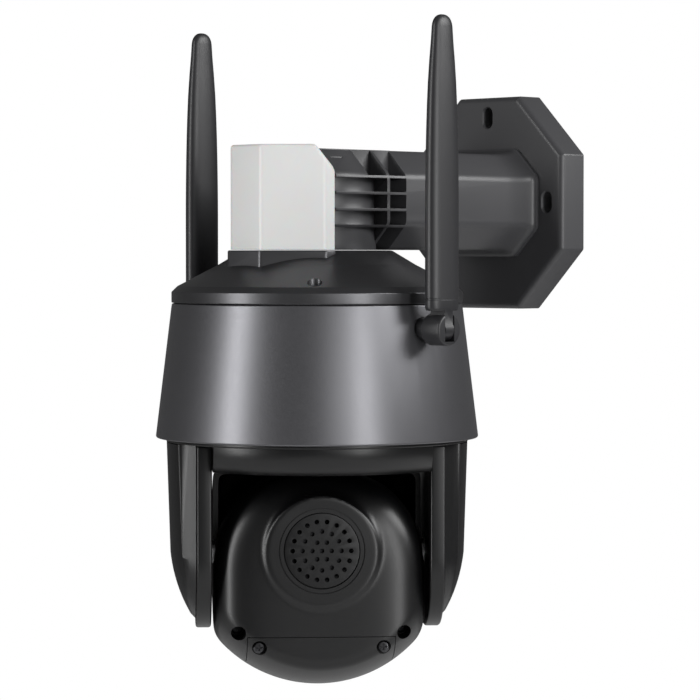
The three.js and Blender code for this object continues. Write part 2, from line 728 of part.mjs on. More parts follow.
const pinPlace = skirtRadiusAt(antennaHeight) + barrelOffset;
for (const [side, turn] of [['right', 0], ['left', Math.PI]]) {
  const antenna = new THREE.Group();
  antenna.rotation.z = turn;
  antenna.position.set(pinPlace * Math.cos(turn), 0, antennaHeight);
  antenna.add(mesh(`antenna_nut_${side}`, antennaNut(pinPlace), steel()));
  antenna.add(mesh(`antenna_base_${side}`, antennaBase(pinPlace), darkPlastic()));
  antenna.add(mesh(`antenna_hinge_pin_${side}`, rod(
    hingePinRadius, 'y', -barrelRadius + 1, barrelRadius - 1, [0, 0], 10), steel()));
  antenna.add(mesh(`antenna_blade_${side}`, antennaBlade(), darkPlastic()));
  head.add(antenna);
}

// ---- Yoke: turns with the pan joint ----
const yoke = new THREE.Group();
yoke.rotation.z = THREE.MathUtils.degToRad(panAtRest);
head.add(yoke);

// A trough across the disc's underside lets the ball's back pass as it tilts, and a deeper
// one in its middle lets the grille's boss pass.
const backReach = Array.from({ length: 40 }, (_, i) => {
  const rise = i / 40;
  const rear = ballRear * (1 - rise ** ballSquareness) ** (1 / ballSquareness);
  return Math.hypot(rear, domeRadius * rise - domeDrop);
});
const troughRadius = Math.max(...backReach) + swing;
const bossTroughRadius = Math.hypot(grilleBossRadius + grilleRise, ballRear + grilleProud) + swing;
const bossTroughHalf = grilleBossRadius + 5 * swing;

function yokeDisc() {
  const rim = rod(yokeRadius, 'z', yokeRimFoot, yokeTop, [0, 0], 36);
  const bowl = turned([
    [0, yokeRimFoot + cut], [yokeRadius, yokeRimFoot + cut], [yokeRadius - 1.2, yokeRimFoot - 4.5],
    [yokeRadius - 4.5, yokeRimFoot - 9], [yokeRadius - 10, ceiling], [0, ceiling],
  ]);
  const between = box([-armInner + seam, armInner - seam], [-200, 200], [-200, 0]);
  const spindle = rod(spindleRadius, 'z', yokeTop - 1, panGearFoot + panGearWidth + 1);
  const trough = rod(troughRadius, 'x', -armInner, armInner, [0, tiltHeight], 64)
    .add(rod(bossTroughRadius, 'x', -bossTroughHalf, bossTroughHalf, [0, tiltHeight], 64));
  const pocketFloor = tiltHeight + bossTroughRadius + 2;
  const pocket = ring(spindleRadius + 6, yokeRadius - 12, pocketFloor, yokeTop + cut);
  return rim.add(bowl.intersect(between)).subtract(pocket).subtract(trough).add(spindle)
    .subtract(rod(spindleBore, 'z', ceiling - cut, capFoot));
}

yoke.add(mesh('yoke_disc', yokeDisc(), blackPlastic()));
yoke.add(mesh('pan_gear', prism(
  gearOutline(panGearTeeth, panModule, -Math.PI / 2 - yoke.rotation.z, spindleRadius + seam),
  'z', panGearFoot, panGearFoot + panGearWidth), acetal()));

// A paddle's outline across the tilt axis: straight sides and a round lower end.
function paddle(halfWidth, margin = 0) {
  const half = halfWidth + margin;
  const top = yokeRimFoot - seam + margin;
  const shape = new THREE.Shape();
  shape.moveTo(half, tiltHeight);
  shape.lineTo(half, top);
  shape.lineTo(-half, top);
  shape.lineTo(-half, tiltHeight);
  shape.absarc(0, tiltHeight, half, Math.PI, 2 * Math.PI);
  return shape;
}

const tiltMotorHeight = tiltHeight + tiltCentres;

function yokeArm(motorSide) {
  const arm = prism(paddle(paddleHalfWidth), 'x', armInner, armOuter);
  const bushHole = rod(bushRadius + seam, 'x', armInner - cut, armOuter + cut, [0, tiltHeight]);
  const motorPocket = rod(
    tiltMotorRadius + seam, 'x', armOuter - tiltMotorDepth - seam, armOuter + cut, [0, tiltMotorHeight]);
  return motorSide ? arm.subtract(bushHole).subtract(motorPocket) : arm.subtract(bushHole);
}

function coverBody(margin) {
  const below = (drop) => tiltHeight - drop;
  const shell = turned([
    [0, yokeRimFoot + cut], [yokeRadius + margin, yokeRimFoot + cut],
    [yokeRadius - 1.7 + margin, below(0)], [yokeRadius - 4.4 + margin, below(13)],
    [yokeRadius - 7.2 + margin, below(21.5)], [yokeRadius - 10.2 + margin, below(26.5)],
    [yokeRadius - coverDepth + margin, below(31)], [yokeRadius - coverDepth + margin, below(60)],
    [0, below(60)],
  ]);
  return shell.intersect(prism(paddle(coverHalfWidth, margin), 'x', armOuter + seam, yokeRadius + cut));
}

function yokeCover() {
  const inside = coverBody(-coverWall).add(
    prism(paddle(coverHalfWidth, -3 * coverWall), 'x', armOuter, armOuter + 3 * seam));
  return coverBody(0).subtract(inside);
}

for (const [side, turn] of [['right', 0], ['left', Math.PI]]) {
  const flank = new THREE.Group();
  flank.rotation.z = turn;
  flank.add(mesh(`yoke_arm_${side}`, yokeArm(side === 'right'), blackPlastic()));
  flank.add(mesh(`yoke_cover_${side}`, yokeCover(), blackPlastic()));
  flank.add(mesh(`tilt_bush_${side}`, rod(
    bushRadius, 'x', armInner, armOuter, [0, tiltHeight]).subtract(rod(
    tiltShaftRadius + seam, 'x', 0, yokeRadius, [0, tiltHeight])), acetal()));
  yoke.add(flank);
}

const tiltMotor = rod(tiltMotorRadius, 'x', armOuter - tiltMotorDepth, armOuter, [0, tiltMotorHeight])
  .add(rod(1.5, 'x', armOuter - 1, gearPlane + tiltGearWidth, [0, tiltMotorHeight], 16));
yoke.add(mesh('tilt_motor', tiltMotor, steel()));

const tiltPinion = mesh('tilt_pinion', prism(
  gearOutline(tiltPinionTeeth, tiltModule, -Math.PI / 2 + Math.PI / tiltPinionTeeth, 1.5 + seam),
  'x', gearPlane, gearPlane + tiltGearWidth), acetal());
tiltPinion.position.z = tiltMotorHeight;
yoke.add(tiltPinion);

// ---- Ball: tilts in the yoke. Here x is the tilt axis and +y the lens direction ----
const ball = new THREE.Group();
ball.position.z = tiltHeight;
yoke.add(ball);

// Moves the points of a unit shape out, towards a box with well rounded corners.
function squared(geometry, upright = true) {
  const place = geometry.attributes.position;
  for (let i = 0; i < place.count; i += 1) {
    const [x, y, z] = [place.getX(i), place.getY(i), place.getZ(i)];
    const height = upright ? Math.abs(z) ** ballSquareness : 0;
    const size = Math.abs(x) ** ballSquareness + Math.abs(y) ** ballSquareness + height;
    const grow = size > 0.01 ? Math.hypot(x, y, upright ? z : 0) * size ** (-1 / ballSquareness) : 1;
    place.setXYZ(i, x * grow, y * grow, upright ? z * grow : z);
  }
  return geometry;
}

// The ball's outer shape, moved in by an inset: a sphere cut by two sides and a flat top,
// with a squarish back that clears the yoke as the ball tilts.
function ballBody(inset) {
  const half = ballHalfWidth - inset;
  const rear = ballRear - inset;
  const dome = domeRadius - inset;
  const sphere = new THREE.SphereGeometry(ballRadius - inset, 28, 18).rotateZ(Math.PI / 2);
  const backDome = squared(new THREE.SphereGeometry(1, 28, 10).rotateX(Math.PI / 2));
  backDome.scale(half, rear, dome).translate(0, 0, -domeDrop);
  const backWall = squared(new THREE.CylinderGeometry(1, 1, 1, 28).rotateX(Math.PI / 2), false);
  backWall.scale(half, rear, ballRadius).translate(0, 0, -domeDrop - ballRadius / 2);
  const back = solidOf(backDome).add(solidOf(backWall)).intersect(box([-200, 200], [-200, 0], [-200, 200]));
  const front = box([-half, half], [-cut / 2, ballRadius], [-ballRadius, ballTop - inset]);
  return back.add(front).intersect(solidOf(sphere));
}

const ballOuter = ballBody(0);
const ballInner = ballBody(ballWall);
const shaftWay = rod(tiltShaftRadius + seam, 'x', -ballRadius, ballRadius);
const rearHalf = box([-200, 200], [-200, -seam / 2], [-200, 200]);
const frontHalf = box([-200, 200], [seam / 2, 200], [-200, 200]);
const grilleFace = -ballRear - grilleProud;
const grilleSpot = [0, grilleRise];

function pocketZone(margin) {
  const side = cardCoverHalfWidth + margin;
  return box([-side, side], [-200, -cardCoverReach + margin], [-200, -cardCoverTop + margin]);
}

function screwWays(places, radius, from, to) {
  return places.map(([x, z]) => rod(radius, 'y', from, to, [x, z], 10));
}

const shellScrews = [-1, 1].map((side) => [side * shellScrewPlace[0], -shellScrewPlace[1]]);
const cardScrews = [-1, 1].map((side) => [side * cardScrewPlace[0], -cardScrewPlace[1]]);
const shellScrewSeat = -11; // the heads' seats behind the tilt axis
const cardScrewSeat = -29.4;

function ballRearShell() {
  const boss = rod(grilleBossRadius, 'y', grilleFace, -ballRear + 6, grilleSpot, 36);
  const bossInside = rod(grilleBossRadius - ballWall, 'y', grilleFace + ballWall, 0, grilleSpot, 36);
  const grilleSeat = rod(
    grilleRadius + seam, 'y', grilleFace - cut, grilleFace + grilleThickness + seam, grilleSpot);
  const soundHole = rod(grilleRadius - 1.5, 'y', grilleFace - cut, 0, grilleSpot);
  let shell = ballOuter.intersect(rearHalf).subtract(ballInner).subtract(pocketZone(seam));
  shell = shell.add(boss).subtract(bossInside).subtract(grilleSeat).subtract(soundHole);
  // The tub under the card cover.
  const tub = ballBody(0.4).subtract(ballBody(ballWall + cardPocket + tubWall))
    .intersect(pocketZone(seam + tubWall)).intersect(rearHalf);
  const space = pocketZone(seam).subtract(ballBody(ballWall + cardPocket));
  shell = shell.add(tub).subtract(space);
  for (const way of screwWays(shellScrews, screwHeadRadius + 2 * seam, -200, shellScrewSeat)) {
    shell = shell.subtract(way);
  }
  return shell.subtract(shaftWay);
}

// Sleeves that the shell screws' heads sit in, joined to the shell's wall.
function rearShellWithSleeves() {
  let sleeves = ballRearShell();
  for (const [x, z] of shellScrews) {
    const sleeve = rod(bossRadius, 'y', -200, -seam / 2, [x, z], 12).intersect(ballBody(0.3));
    const head = rod(screwHeadRadius + 2 * seam, 'y', -200, shellScrewSeat, [x, z], 10);
    const shank = rod(screwRadius + seam, 'y', -200, cut, [x, z], 10);
    sleeves = sleeves.add(sleeve).subtract(head).subtract(shank);
  }
  for (const way of screwWays(cardScrews, screwRadius + seam, -200, cardScrewSeat + 12)) {
    sleeves = sleeves.subtract(way);
  }
  const [buttonWay, cardWay] = pocketWays(seam);
  return sleeves.subtract(buttonWay).subtract(cardWay);
}

// The reset button and the memory card stand on the tub's floor, along one direction.
const pocketTilt = -THREE.MathUtils.degToRad(90 - pocketAngle);
const floorDistance = 50; // from the tilt axis to the tub's floor, along that direction

function alongPocket(solid, x) {
  const geometry = geometryOf(solid);
  geometry.rotateX(pocketTilt);
  geometry.translate(x, 0, 0);
  return solidOf(geometry);
}

function buttonSolid(margin, travel = 0) {
  const bottom = -floorDistance - 1.2;
  const top = bottom + buttonLength + travel;
  return rod(buttonRadius + margin, 'z', bottom - margin, top + margin, [0, 0], 20);
}

function cardSolid(margin) {
  const bottom = -floorDistance - 0.9;
  const half = cardWidth / 2 + margin;
  return box([-half, half], [-cardThickness / 2 - margin, cardThickness / 2 + margin],
    [bottom - margin, bottom + cardLength + margin]);
}

function pocketWays(margin) {
  const buttonWay = alongPocket(buttonSolid(margin, buttonTravel), buttonSide);
  return [buttonWay, alongPocket(cardSolid(margin), -buttonSide)];
}

function cardCover() {
  const aboveFloor = ballBody(ballWall + cardPocket - seam);
  let cover = ballOuter.subtract(ballInner).intersect(pocketZone(0));
  for (const [x, z] of cardScrews) {
    const sleeve = rod(screwHeadRadius + 2 * seam + 1.2, 'y', -200, cardScrewSeat, [x, z], 12)
      .intersect(ballBody(0.2)).intersect(pocketZone(0)).subtract(aboveFloor);
    const head = rod(screwHeadRadius + 2 * seam, 'y', -200, cardScrewSeat - 1.6, [x, z], 10);
    const shank = rod(screwRadius + seam, 'y', -200, 0, [x, z], 10);
    cover = cover.add(sleeve).subtract(head).subtract(shank);
  }
  return cover;
}

function ballFrontShell() {
  const face = ballRadius - windowInset;
  const opening = rod(windowRadius + seam, 'y', face - windowThickness - seam, 200, [0, 0], 36);
  const sight = rod(windowRadius - 2.5, 'y', 0, 200, [0, 0], 36);
  const flatten = box([-200, 200], [face + 1.6, 200], [-200, 200]);
  const ledge = rod(windowRadius + 3, 'y', face - windowThickness - seam - 2, face, [0, 0], 36);
  let shell = ballOuter.intersect(frontHalf).subtract(ballInner);
  shell = shell.add(ledge.intersect(ballOuter)).subtract(opening).subtract(sight).subtract(flatten);
  for (const [x, z] of shellScrews) {
    const wallward = box([Math.min(x, Math.sign(x) * ballHalfWidth), Math.max(x, Math.sign(x) * ballHalfWidth)],
      [seam / 2, 16], [z - 1.5, z + 1.5]);
    const boss = rod(bossRadius, 'y', seam / 2, 16, [x, z], 12).add(wallward).intersect(ballBody(0.3));
    shell = shell.add(boss).subtract(rod(screwRadius + seam, 'y', -cut, 13, [x, z], 10));
  }
  return shell.subtract(shaftWay);
}

ball.add(mesh('ball_rear_shell', rearShellWithSleeves(), blackPlastic()));
ball.add(mesh('ball_front_shell', ballFrontShell(), blackPlastic()));
ball.add(mesh('card_cover', cardCover(), blackPlastic()));


for (const [name, [x, z]] of [['shell_screw_left', shellScrews[0]], ['shell_screw_right', shellScrews[1]]]) {
  const piece = mesh(name, screw(20), blackSteel());
  piece.rotation.x = Math.PI / 2;
  piece.position.set(x, shellScrewSeat - seam, z);
  ball.add(piece);
}

for (const [name, [x, z]] of [['card_screw_left', cardScrews[0]], ['card_screw_right', cardScrews[1]]]) {
  const piece = mesh(name, screw(10), blackSteel());
  piece.rotation.x = Math.PI / 2;
  piece.position.set(x, cardScrewSeat - 1.6 - seam, z);
  ball.add(piece);
}

// ---- Speaker: a perforated disc over a driver ----
function speakerGrille() {
  const disc = new THREE.Shape();
  disc.absarc(0, 0, grilleRadius, 0, 2 * Math.PI);
  for (const [count, radius] of grilleRings) {
    for (let i = 0; i < count; i += 1) {
      const angle = i * 2 * Math.PI / count;
      const hole = new THREE.Path();
      const sides = Array.from({ length: 5 }, (_, k) => angle + k * Math.PI * 0.4);
      hole.setFromPoints(sides.map((turn) => new THREE.Vector2(
        radius * Math.cos(angle) + grilleHoleRadius * Math.cos(turn),
        radius * Math.sin(angle) + grilleHoleRadius * Math.sin(turn))));
      disc.holes.push(hole);
    }
  }
  return prism(disc, 'y', grilleFace + 0.2, grilleFace + grilleThickness).translate([0, 0, grilleRise]);
}

function speakerDriver() {
  const face = -grilleFace - grilleThickness - 2 * seam - 1.5;
  const magnet = 0.62 * grilleRadius;
  return turned([
    [0, face - 1], [grilleRadius - 5, face - 1], [grilleRadius - 2, face], [grilleRadius, face],
    [grilleRadius, face - 3], [magnet, face - 7], [magnet, face - 12], [0, face - 12],
  ], 20);
}

const driver = mesh('speaker_driver', speakerDriver(), blackSteel());
driver.rotation.x = Math.PI / 2;
driver.position.z = grilleRise;
ball.add(mesh('speaker_grille', speakerGrille(), blackPlastic()), driver);

// ---- Lens, its boards and the front window ----
const windowFace = ballRadius - windowInset;
const boardPlace = 12;
const lensBack = boardPlace + boardThickness + seam;
const lensFront = windowFace - windowThickness - 3;
const ledPlace = lensFront - 8;
const ledCircle = 17.5;

function ledBoard() {
  let board = rod(windowRadius - 3.5, 'y', ledPlace, ledPlace + boardThickness, [0, 0], 40)
    .subtract(rod(lensRadius + 1, 'y', 0, 100, [0, 0], 32));
  for (let i = 0; i < 6; i += 1) {
    const angle = (i + 0.5) * Math.PI / 3;
    const spot = [ledCircle * Math.cos(angle), ledCircle * Math.sin(angle)];
    board = board.add(rod(2.5, 'y', ledPlace + 1, ledPlace + 6, spot, 12));
  }
  return board;
}

ball.add(mesh('front_window', rod(
  windowRadius, 'y', windowFace - windowThickness, windowFace, [0, 0], 36), darkGlass()));
ball.add(mesh('lens_barrel', rod(lensRadius, 'y', lensBack, lensFront, [0, 0], 32)
  .subtract(rod(lensRadius - 2, 'y', lensFront - 4, lensFront + 1, [0, 0], 32)), blackSteel()));
ball.add(mesh('lens_glass', turnedAlongLens([
  [0, 0], [lensRadius - 2.4, 0], [lensRadius - 2.4, 1.5], [lensRadius - 4, 2.6], [0, 3.2],
], lensFront - 3.7), darkGlass()));
ball.add(mesh('sensor_board', box(
  [-16, 16], [boardPlace, boardPlace + boardThickness], [-16, 16]), circuit()));
ball.add(mesh('led_board', ledBoard(), circuit()));

function turnedAlongLens(points, from) {
  const geometry = geometryOf(turned(points, 16));
  geometry.rotateX(-Math.PI / 2);
  geometry.translate(0, from, 0);
  return solidOf(geometry);
}

// ---- Tilt shaft on the geared side, pin on the other, and the tilt gear ----
function tiltShaft(end) {
  const flangeFace = ballHalfWidth - ballWall - tiltFlangeInset;
  return rod(tiltFlangeRadius, 'x', flangeFace - 3, flangeFace)
    .add(rod(tiltShaftRadius, 'x', flangeFace - 3.5, end));
}

const tiltPin = mesh('tilt_pin', tiltShaft(armOuter + 2), steel());
tiltPin.rotation.z = Math.PI;
ball.add(mesh('tilt_shaft', tiltShaft(gearPlane + tiltGearWidth + 0.5), steel()), tiltPin);
ball.add(mesh('tilt_gear', prism(
  gearOutline(tiltGearTeeth, tiltModule, Math.PI / 2, tiltShaftRadius + seam),
  'x', gearPlane, gearPlane + tiltGearWidth), acetal()));

// ---- Under the card cover ----
ball.add(mesh('memory_card', alongPocket(cardSolid(0), -buttonSide), blackPlastic()));
ball.add(mesh('reset_button', alongPocket(buttonSolid(0), buttonSide), rubber()));

export default camera;
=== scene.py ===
# %% [markdown]
# A pan and tilt security camera on its wall bracket. The CAD frame gives every position.
# The cells below give each piece its moulded, painted or frosted finish, and make again
# those pieces whose smooth curves and soft edges the faceted CAD solids can't show.

# %% Load the frame
import json
import math

import bmesh
import bpy
import numpy as np
from mathutils import Matrix, Vector


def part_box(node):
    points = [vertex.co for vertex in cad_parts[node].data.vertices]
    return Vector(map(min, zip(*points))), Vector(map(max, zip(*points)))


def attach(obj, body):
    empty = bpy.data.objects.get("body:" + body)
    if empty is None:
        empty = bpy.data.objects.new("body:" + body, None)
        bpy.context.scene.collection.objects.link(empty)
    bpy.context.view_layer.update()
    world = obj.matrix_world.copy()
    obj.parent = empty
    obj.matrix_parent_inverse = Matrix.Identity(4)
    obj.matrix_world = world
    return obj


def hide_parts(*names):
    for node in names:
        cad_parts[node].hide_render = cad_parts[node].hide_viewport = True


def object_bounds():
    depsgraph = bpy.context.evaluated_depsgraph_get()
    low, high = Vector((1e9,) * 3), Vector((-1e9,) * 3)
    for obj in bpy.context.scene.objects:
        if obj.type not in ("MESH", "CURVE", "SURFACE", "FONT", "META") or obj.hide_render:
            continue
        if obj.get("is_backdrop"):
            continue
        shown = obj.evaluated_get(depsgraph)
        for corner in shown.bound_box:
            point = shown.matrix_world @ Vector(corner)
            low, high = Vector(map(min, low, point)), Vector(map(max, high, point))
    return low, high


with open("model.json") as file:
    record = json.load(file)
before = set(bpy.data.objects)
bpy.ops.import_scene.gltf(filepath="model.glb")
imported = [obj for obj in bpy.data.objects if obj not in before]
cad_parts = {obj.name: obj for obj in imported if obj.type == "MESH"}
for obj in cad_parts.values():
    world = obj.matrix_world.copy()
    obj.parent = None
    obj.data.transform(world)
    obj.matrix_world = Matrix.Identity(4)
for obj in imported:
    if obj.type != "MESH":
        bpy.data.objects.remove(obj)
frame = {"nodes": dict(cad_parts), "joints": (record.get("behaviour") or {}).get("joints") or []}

cad_low, cad_high = (tuple(corner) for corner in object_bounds())
scene = bpy.context.scene
MM = 0.001
FAR = 0.1  # past any one piece, for tools that cut right through
print("CAD box", cad_low, cad_high)

# %% [markdown]
# Every size comes from the frame: the boxes of the CAD nodes and the places of the joints.
# Two axes matter. The pan axis is upright, and the tilt axis lies across the yoke.

# %% Read the main places
joints = {joint["name"]: joint for joint in frame["joints"]}
TILT_CENTRE = Vector(joints["tilt"]["pos_m"])
PAN_X, PAN_Y = TILT_CENTRE.x, TILT_CENTRE.y
TILT_ACROSS = -Vector(joints["tilt"]["axis"])
YOKE_TURN = math.atan2(TILT_ACROSS.y, TILT_ACROSS.x)
skirt_low, skirt_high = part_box("skirt_housing")
cap_low, cap_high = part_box("top_cap")
lamp_low, lamp_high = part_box("light_cover")
plate_low, plate_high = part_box("wall_plate")
arm_low, arm_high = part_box("bracket_arm")
disc_low, disc_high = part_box("yoke_disc")
print("yoke turned", round(math.degrees(YOKE_TURN), 1), "degrees")

# %% [markdown]
# The camera stands 1.4 m from the pan axis, at the height of the arm's lower half. A long
# lens keeps upright edges parallel, as a catalogue picture does.

# %% Place the camera
EYE_AZIMUTH = math.radians(46)
EYE_DISTANCE = 1.4
EYE_HEIGHT = -0.0262
LENS = 154
side_way = Vector((math.cos(EYE_AZIMUTH), math.sin(EYE_AZIMUTH), 0))
away = Vector((-math.sin(EYE_AZIMUTH), math.cos(EYE_AZIMUTH), 0))
eye = Vector((PAN_X, PAN_Y, EYE_HEIGHT)) - away * EYE_DISTANCE
target = Vector((PAN_X, PAN_Y, EYE_HEIGHT)) + side_way * 0.0154 + Vector((0, 0, -0.0439))

camera = bpy.data.objects.new("camera", bpy.data.cameras.new("camera"))
camera.data.lens = LENS
camera.data.sensor_width = 36
camera.data.clip_start = 0.05
camera.data.clip_end = 50
camera.location = eye
camera.rotation_mode = "QUATERNION"
camera.rotation_quaternion = (target - eye).to_track_quat("-Z", "Y")
scene.collection.objects.link(camera)
scene.camera = camera

# %% [markdown]
# A pale floor, a white backdrop and soft lamps make a plain studio. The backdrop is white to
# look at but lights the object only dimly, so black plastic stays black. Two tall strips give
# turned plastic its pair of upright highlights. A sky image could light it too, but then no
# highlight could be placed by itself.

# %% Studio floor and lights
def plain_shader(name, color, roughness):
    material = bpy.data.materials.new(name)
    material.use_nodes = True
    shader = material.node_tree.nodes["Principled BSDF"]
    shader.inputs["Base Color"].default_value = (*color, 1)
    shader.inputs["Roughness"].default_value = roughness
    return material


FLOOR_DROP = 0.12
floor_height = cad_low[2] - FLOOR_DROP
floor_mesh = bpy.data.meshes.new("studio_floor")
FLOOR_HALF = 0.42
corners = [
    (PAN_X + x * FLOOR_HALF, PAN_Y + y * FLOOR_HALF, floor_height)
    for x, y in ((-1, -1), (1, -1), (1, 1), (-1, 1))]
floor_mesh.from_pydata(corners, [], [(0, 1, 2, 3)])
floor = bpy.data.objects.new("studio_floor", floor_mesh)
scene.collection.objects.link(floor)
floor_mesh.materials.append(plain_shader("studio paper", (0.93, 0.93, 0.93), 0.9))
floor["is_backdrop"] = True

world = bpy.data.worlds.new("studio")
scene.world = world
world.use_nodes = True
sky = world.node_tree
seen_sky = sky.nodes["Background"]
seen_sky.inputs["Color"].default_value = (1, 1, 1, 1)
dim_sky = sky.nodes.new("ShaderNodeBackground")
dim_sky.inputs["Color"].default_value = (1, 1, 1, 1)
dim_sky.inputs["Strength"].default_value = 0.1
ray_kind = sky.nodes.new("ShaderNodeLightPath")
sky_mix = sky.nodes.new("ShaderNodeMixShader")
sky.links.new(ray_kind.outputs["Is Camera Ray"], sky_mix.inputs[0])
sky.links.new(dim_sky.outputs[0], sky_mix.inputs[1])
sky.links.new(seen_sky.outputs[0], sky_mix.inputs[2])
sky.links.new(sky_mix.outputs[0], sky.nodes["World Output"].inputs["Surface"])
scene.view_settings.view_transform = "Standard"


def soft_light(name, azimuth, elevation, distance, size, power):
    """An area lamp round the pan axis, aimed at the head. Azimuth 0 is the camera's side."""
    turn = EYE_AZIMUTH + math.radians(azimuth)
    lift = math.radians(elevation)
    way = Vector((math.sin(turn) * math.cos(lift), -math.cos(turn) * math.cos(lift), math.sin(lift)))
    light = bpy.data.lights.new(name, "AREA")
    light.shape = "RECTANGLE"
    light.size, light.size_y = size
    light.energy = power
    lamp = bpy.data.objects.new(name, light)
    aim = Vector((PAN_X, PAN_Y, -0.08))
    lamp.location = aim + way * distance
    lamp.rotation_mode = "QUATERNION"
    lamp.rotation_quaternion = (-way).to_track_quat("-Z", "Y")
    scene.collection.objects.link(lamp)


soft_light("left_strip", -62, 6, 1.3, (0.2, 1.3), 11)
soft_light("right_strip", 34, 4, 1.7, (0.22, 1.4), 12)
soft_light("upper_right_soft", 74, 30, 1.5, (1.1, 0.7), 20)
soft_light("front_soft", 16, 8, 1.8, (0.5, 0.9), 2.2)

# %% [markdown]
# Small shape helpers come first. A profile turned round an upright axis makes the skirt, the
# cap and the disc; an outline pushed along an axis makes plates; and rings joined by a loft
# make whatever swells or narrows. An arc in each corner of an outline is what a moulded part
# has in place of sharp corners. Faces drawn by hand would do, but outlines keep sizes readable.

# %% Mesh helpers
def new_piece(name, mesh):
    piece = bpy.data.objects.new(name, mesh)
    scene.collection.objects.link(piece)
    return piece


def from_bmesh(name, build):
    bmesh.ops.remove_doubles(build, verts=build.verts, dist=1e-7)
    bmesh.ops.recalc_face_normals(build, faces=build.faces)
    mesh = bpy.data.meshes.new(name)
    build.to_mesh(mesh)
    build.free()
    return new_piece(name, mesh)


def rounded(points, radius, steps=5, closed=True):
    """The outline with an arc in each corner. radius is one value or one for each corner."""
    radii = radius if isinstance(radius, (list, tuple)) else [radius] * len(points)
    result = []
    count = len(points)
    for i, point in enumerate(points):
        here = Vector(point)
        if radii[i] <= 0 or (not closed and i in (0, count - 1)):
            result.append(tuple(here))
            continue
        before = Vector(points[i - 1]) - here
        after = Vector(points[(i + 1) % count]) - here
        half_angle = before.angle(after) / 2
        reach = min(radii[i] / math.tan(half_angle), before.length * 0.49, after.length * 0.49)
        arc_radius = reach * math.tan(half_angle)
        centre = here + (before.normalized() + after.normalized()).normalized() * (
            arc_radius / math.sin(half_angle))
        start = here + before.normalized() * reach - centre
        end = here + after.normalized() * reach - centre
        sweep = start.angle_signed(end)
        for step in range(steps + 1):
            turned = start.copy()
            turned.rotate(Matrix.Rotation(-sweep * step / steps, 2))
            result.append(tuple(centre + turned))
    return result


def revolve(name, profile, steps=160, centre=(PAN_X, PAN_Y)):
    """A turned piece from a closed profile of (radius, height) points."""
    build = bmesh.new()
    rings = []
    for radius, height in profile:
        if radius < 1e-7:
            rings.append([build.verts.new((centre[0], centre[1], height))] * steps)
            continue
        rings.append([
            build.verts.new((
                centre[0] + radius * math.cos(2 * math.pi * i / steps),
                centre[1] + radius * math.sin(2 * math.pi * i / steps),
                height))
            for i in range(steps)])
    for lower, upper in zip(rings, rings[1:] + rings[:1]):
        for i in range(steps):
            after = (i + 1) % steps
            corners = []
            for vert in (lower[i], lower[after], upper[after], upper[i]):
                if vert not in corners:
                    corners.append(vert)
            if len(corners) > 2:
                build.faces.new(corners)
    return from_bmesh(name, build)


def loft(name, rings):
    """A closed piece through rings of points, each with the same number of corners."""
    build = bmesh.new()
    made = [[build.verts.new(point) for point in ring] for ring in rings]
    for lower, upper in zip(made, made[1:]):
        for i in range(len(lower)):
            after = (i + 1) % len(lower)
            build.faces.new((lower[i], lower[after], upper[after], upper[i]))
    build.faces.new(made[0])
    build.faces.new(made[-1])
    return from_bmesh(name, build)


def push(name, outline, axis, low, high):
    """An outline pushed along an axis. Across x it lies in (y, z), across y in (x, z)."""
    place = {
        "x": lambda a, b, h: (h, a, b),
        "y": lambda a, b, h: (a, h, b),
        "z": lambda a, b, h: (a, b, h),
    }[axis]
    return loft(name, [[place(a, b, level) for a, b in outline] for level in (low, high)])


def box_piece(name, low, high):
    outline = [(low[0], low[1]), (high[0], low[1]), (high[0], high[1]), (low[0], high[1])]
    return push(name, outline, "z", low[2], high[2])


def circle(centre, radius, steps=48):
    turns = (2 * math.pi * i / steps for i in range(steps))
    return [(centre[0] + radius * math.cos(turn), centre[1] + radius * math.sin(turn)) for turn in turns]

# %% [markdown]
# A moulding is made by joining and cutting solids, much as its mould is. A Boolean modifier
# does each step and is made a plain mesh at once, so every step starts from a finished shape.
# A live stack of modifiers would do the same, but it is slower and harder to check.

# %% Cutting and rounding
def settle(piece):
    """Turns the piece with its live modifiers into a plain mesh."""
    shown = piece.evaluated_get(bpy.context.evaluated_depsgraph_get())
    mesh = bpy.data.meshes.new_from_object(shown)
    piece.modifiers.clear()
    piece.data = mesh
    return piece


def combine(piece, other, how):
    """Joins, cuts or keeps what both share. The second piece is used up."""
    modifier = piece.modifiers.new("combine", "BOOLEAN")
    modifier.operation = how
    modifier.solver = "EXACT"
    modifier.object = other
    settle(piece)
    bpy.data.objects.remove(other)
    return piece


def cut(piece, tool):
    return combine(piece, tool, "DIFFERENCE")


def join(piece, other):
    return combine(piece, other, "UNION")


def trim(piece, keeper):
    return combine(piece, keeper, "INTERSECT")


def soften(piece, width, segments=3, angle=30):
    """Rounds the edges that are sharper than the angle."""
    build = bmesh.new()
    build.from_mesh(piece.data)
    bmesh.ops.remove_doubles(build, verts=build.verts, dist=1e-6)
    bmesh.ops.dissolve_limit(build, angle_limit=math.radians(1), verts=build.verts, edges=build.edges)
    build.to_mesh(piece.data)
    build.free()
    modifier = piece.modifiers.new("soften", "BEVEL")
    modifier.width = width
    modifier.segments = segments
    modifier.limit_method = "ANGLE"
    modifier.angle_limit = math.radians(angle)
    modifier.use_clamp_overlap = True
    return settle(piece)

# %% [markdown]
# A finished piece gets smooth shading that stops at its true edges, one material, and its
# place in the assembly: the body it rides on and the CAD nodes it stands for.

# %% Shading and placing
def shade(piece, angle=32):
    """Smooth shading that keeps the edges sharper than the angle."""
    piece.data.shade_smooth()
    build = bmesh.new()
    build.from_mesh(piece.data)
    for edge in build.edges:
        edge.smooth = len(edge.link_faces) == 2 and edge.calc_face_angle(0) < math.radians(angle)
    build.to_mesh(piece.data)
    build.free()


def move(piece, matrix):
    piece.data.transform(matrix)
    if matrix.determinant() < 0:
        piece.data.flip_normals()
    return piece


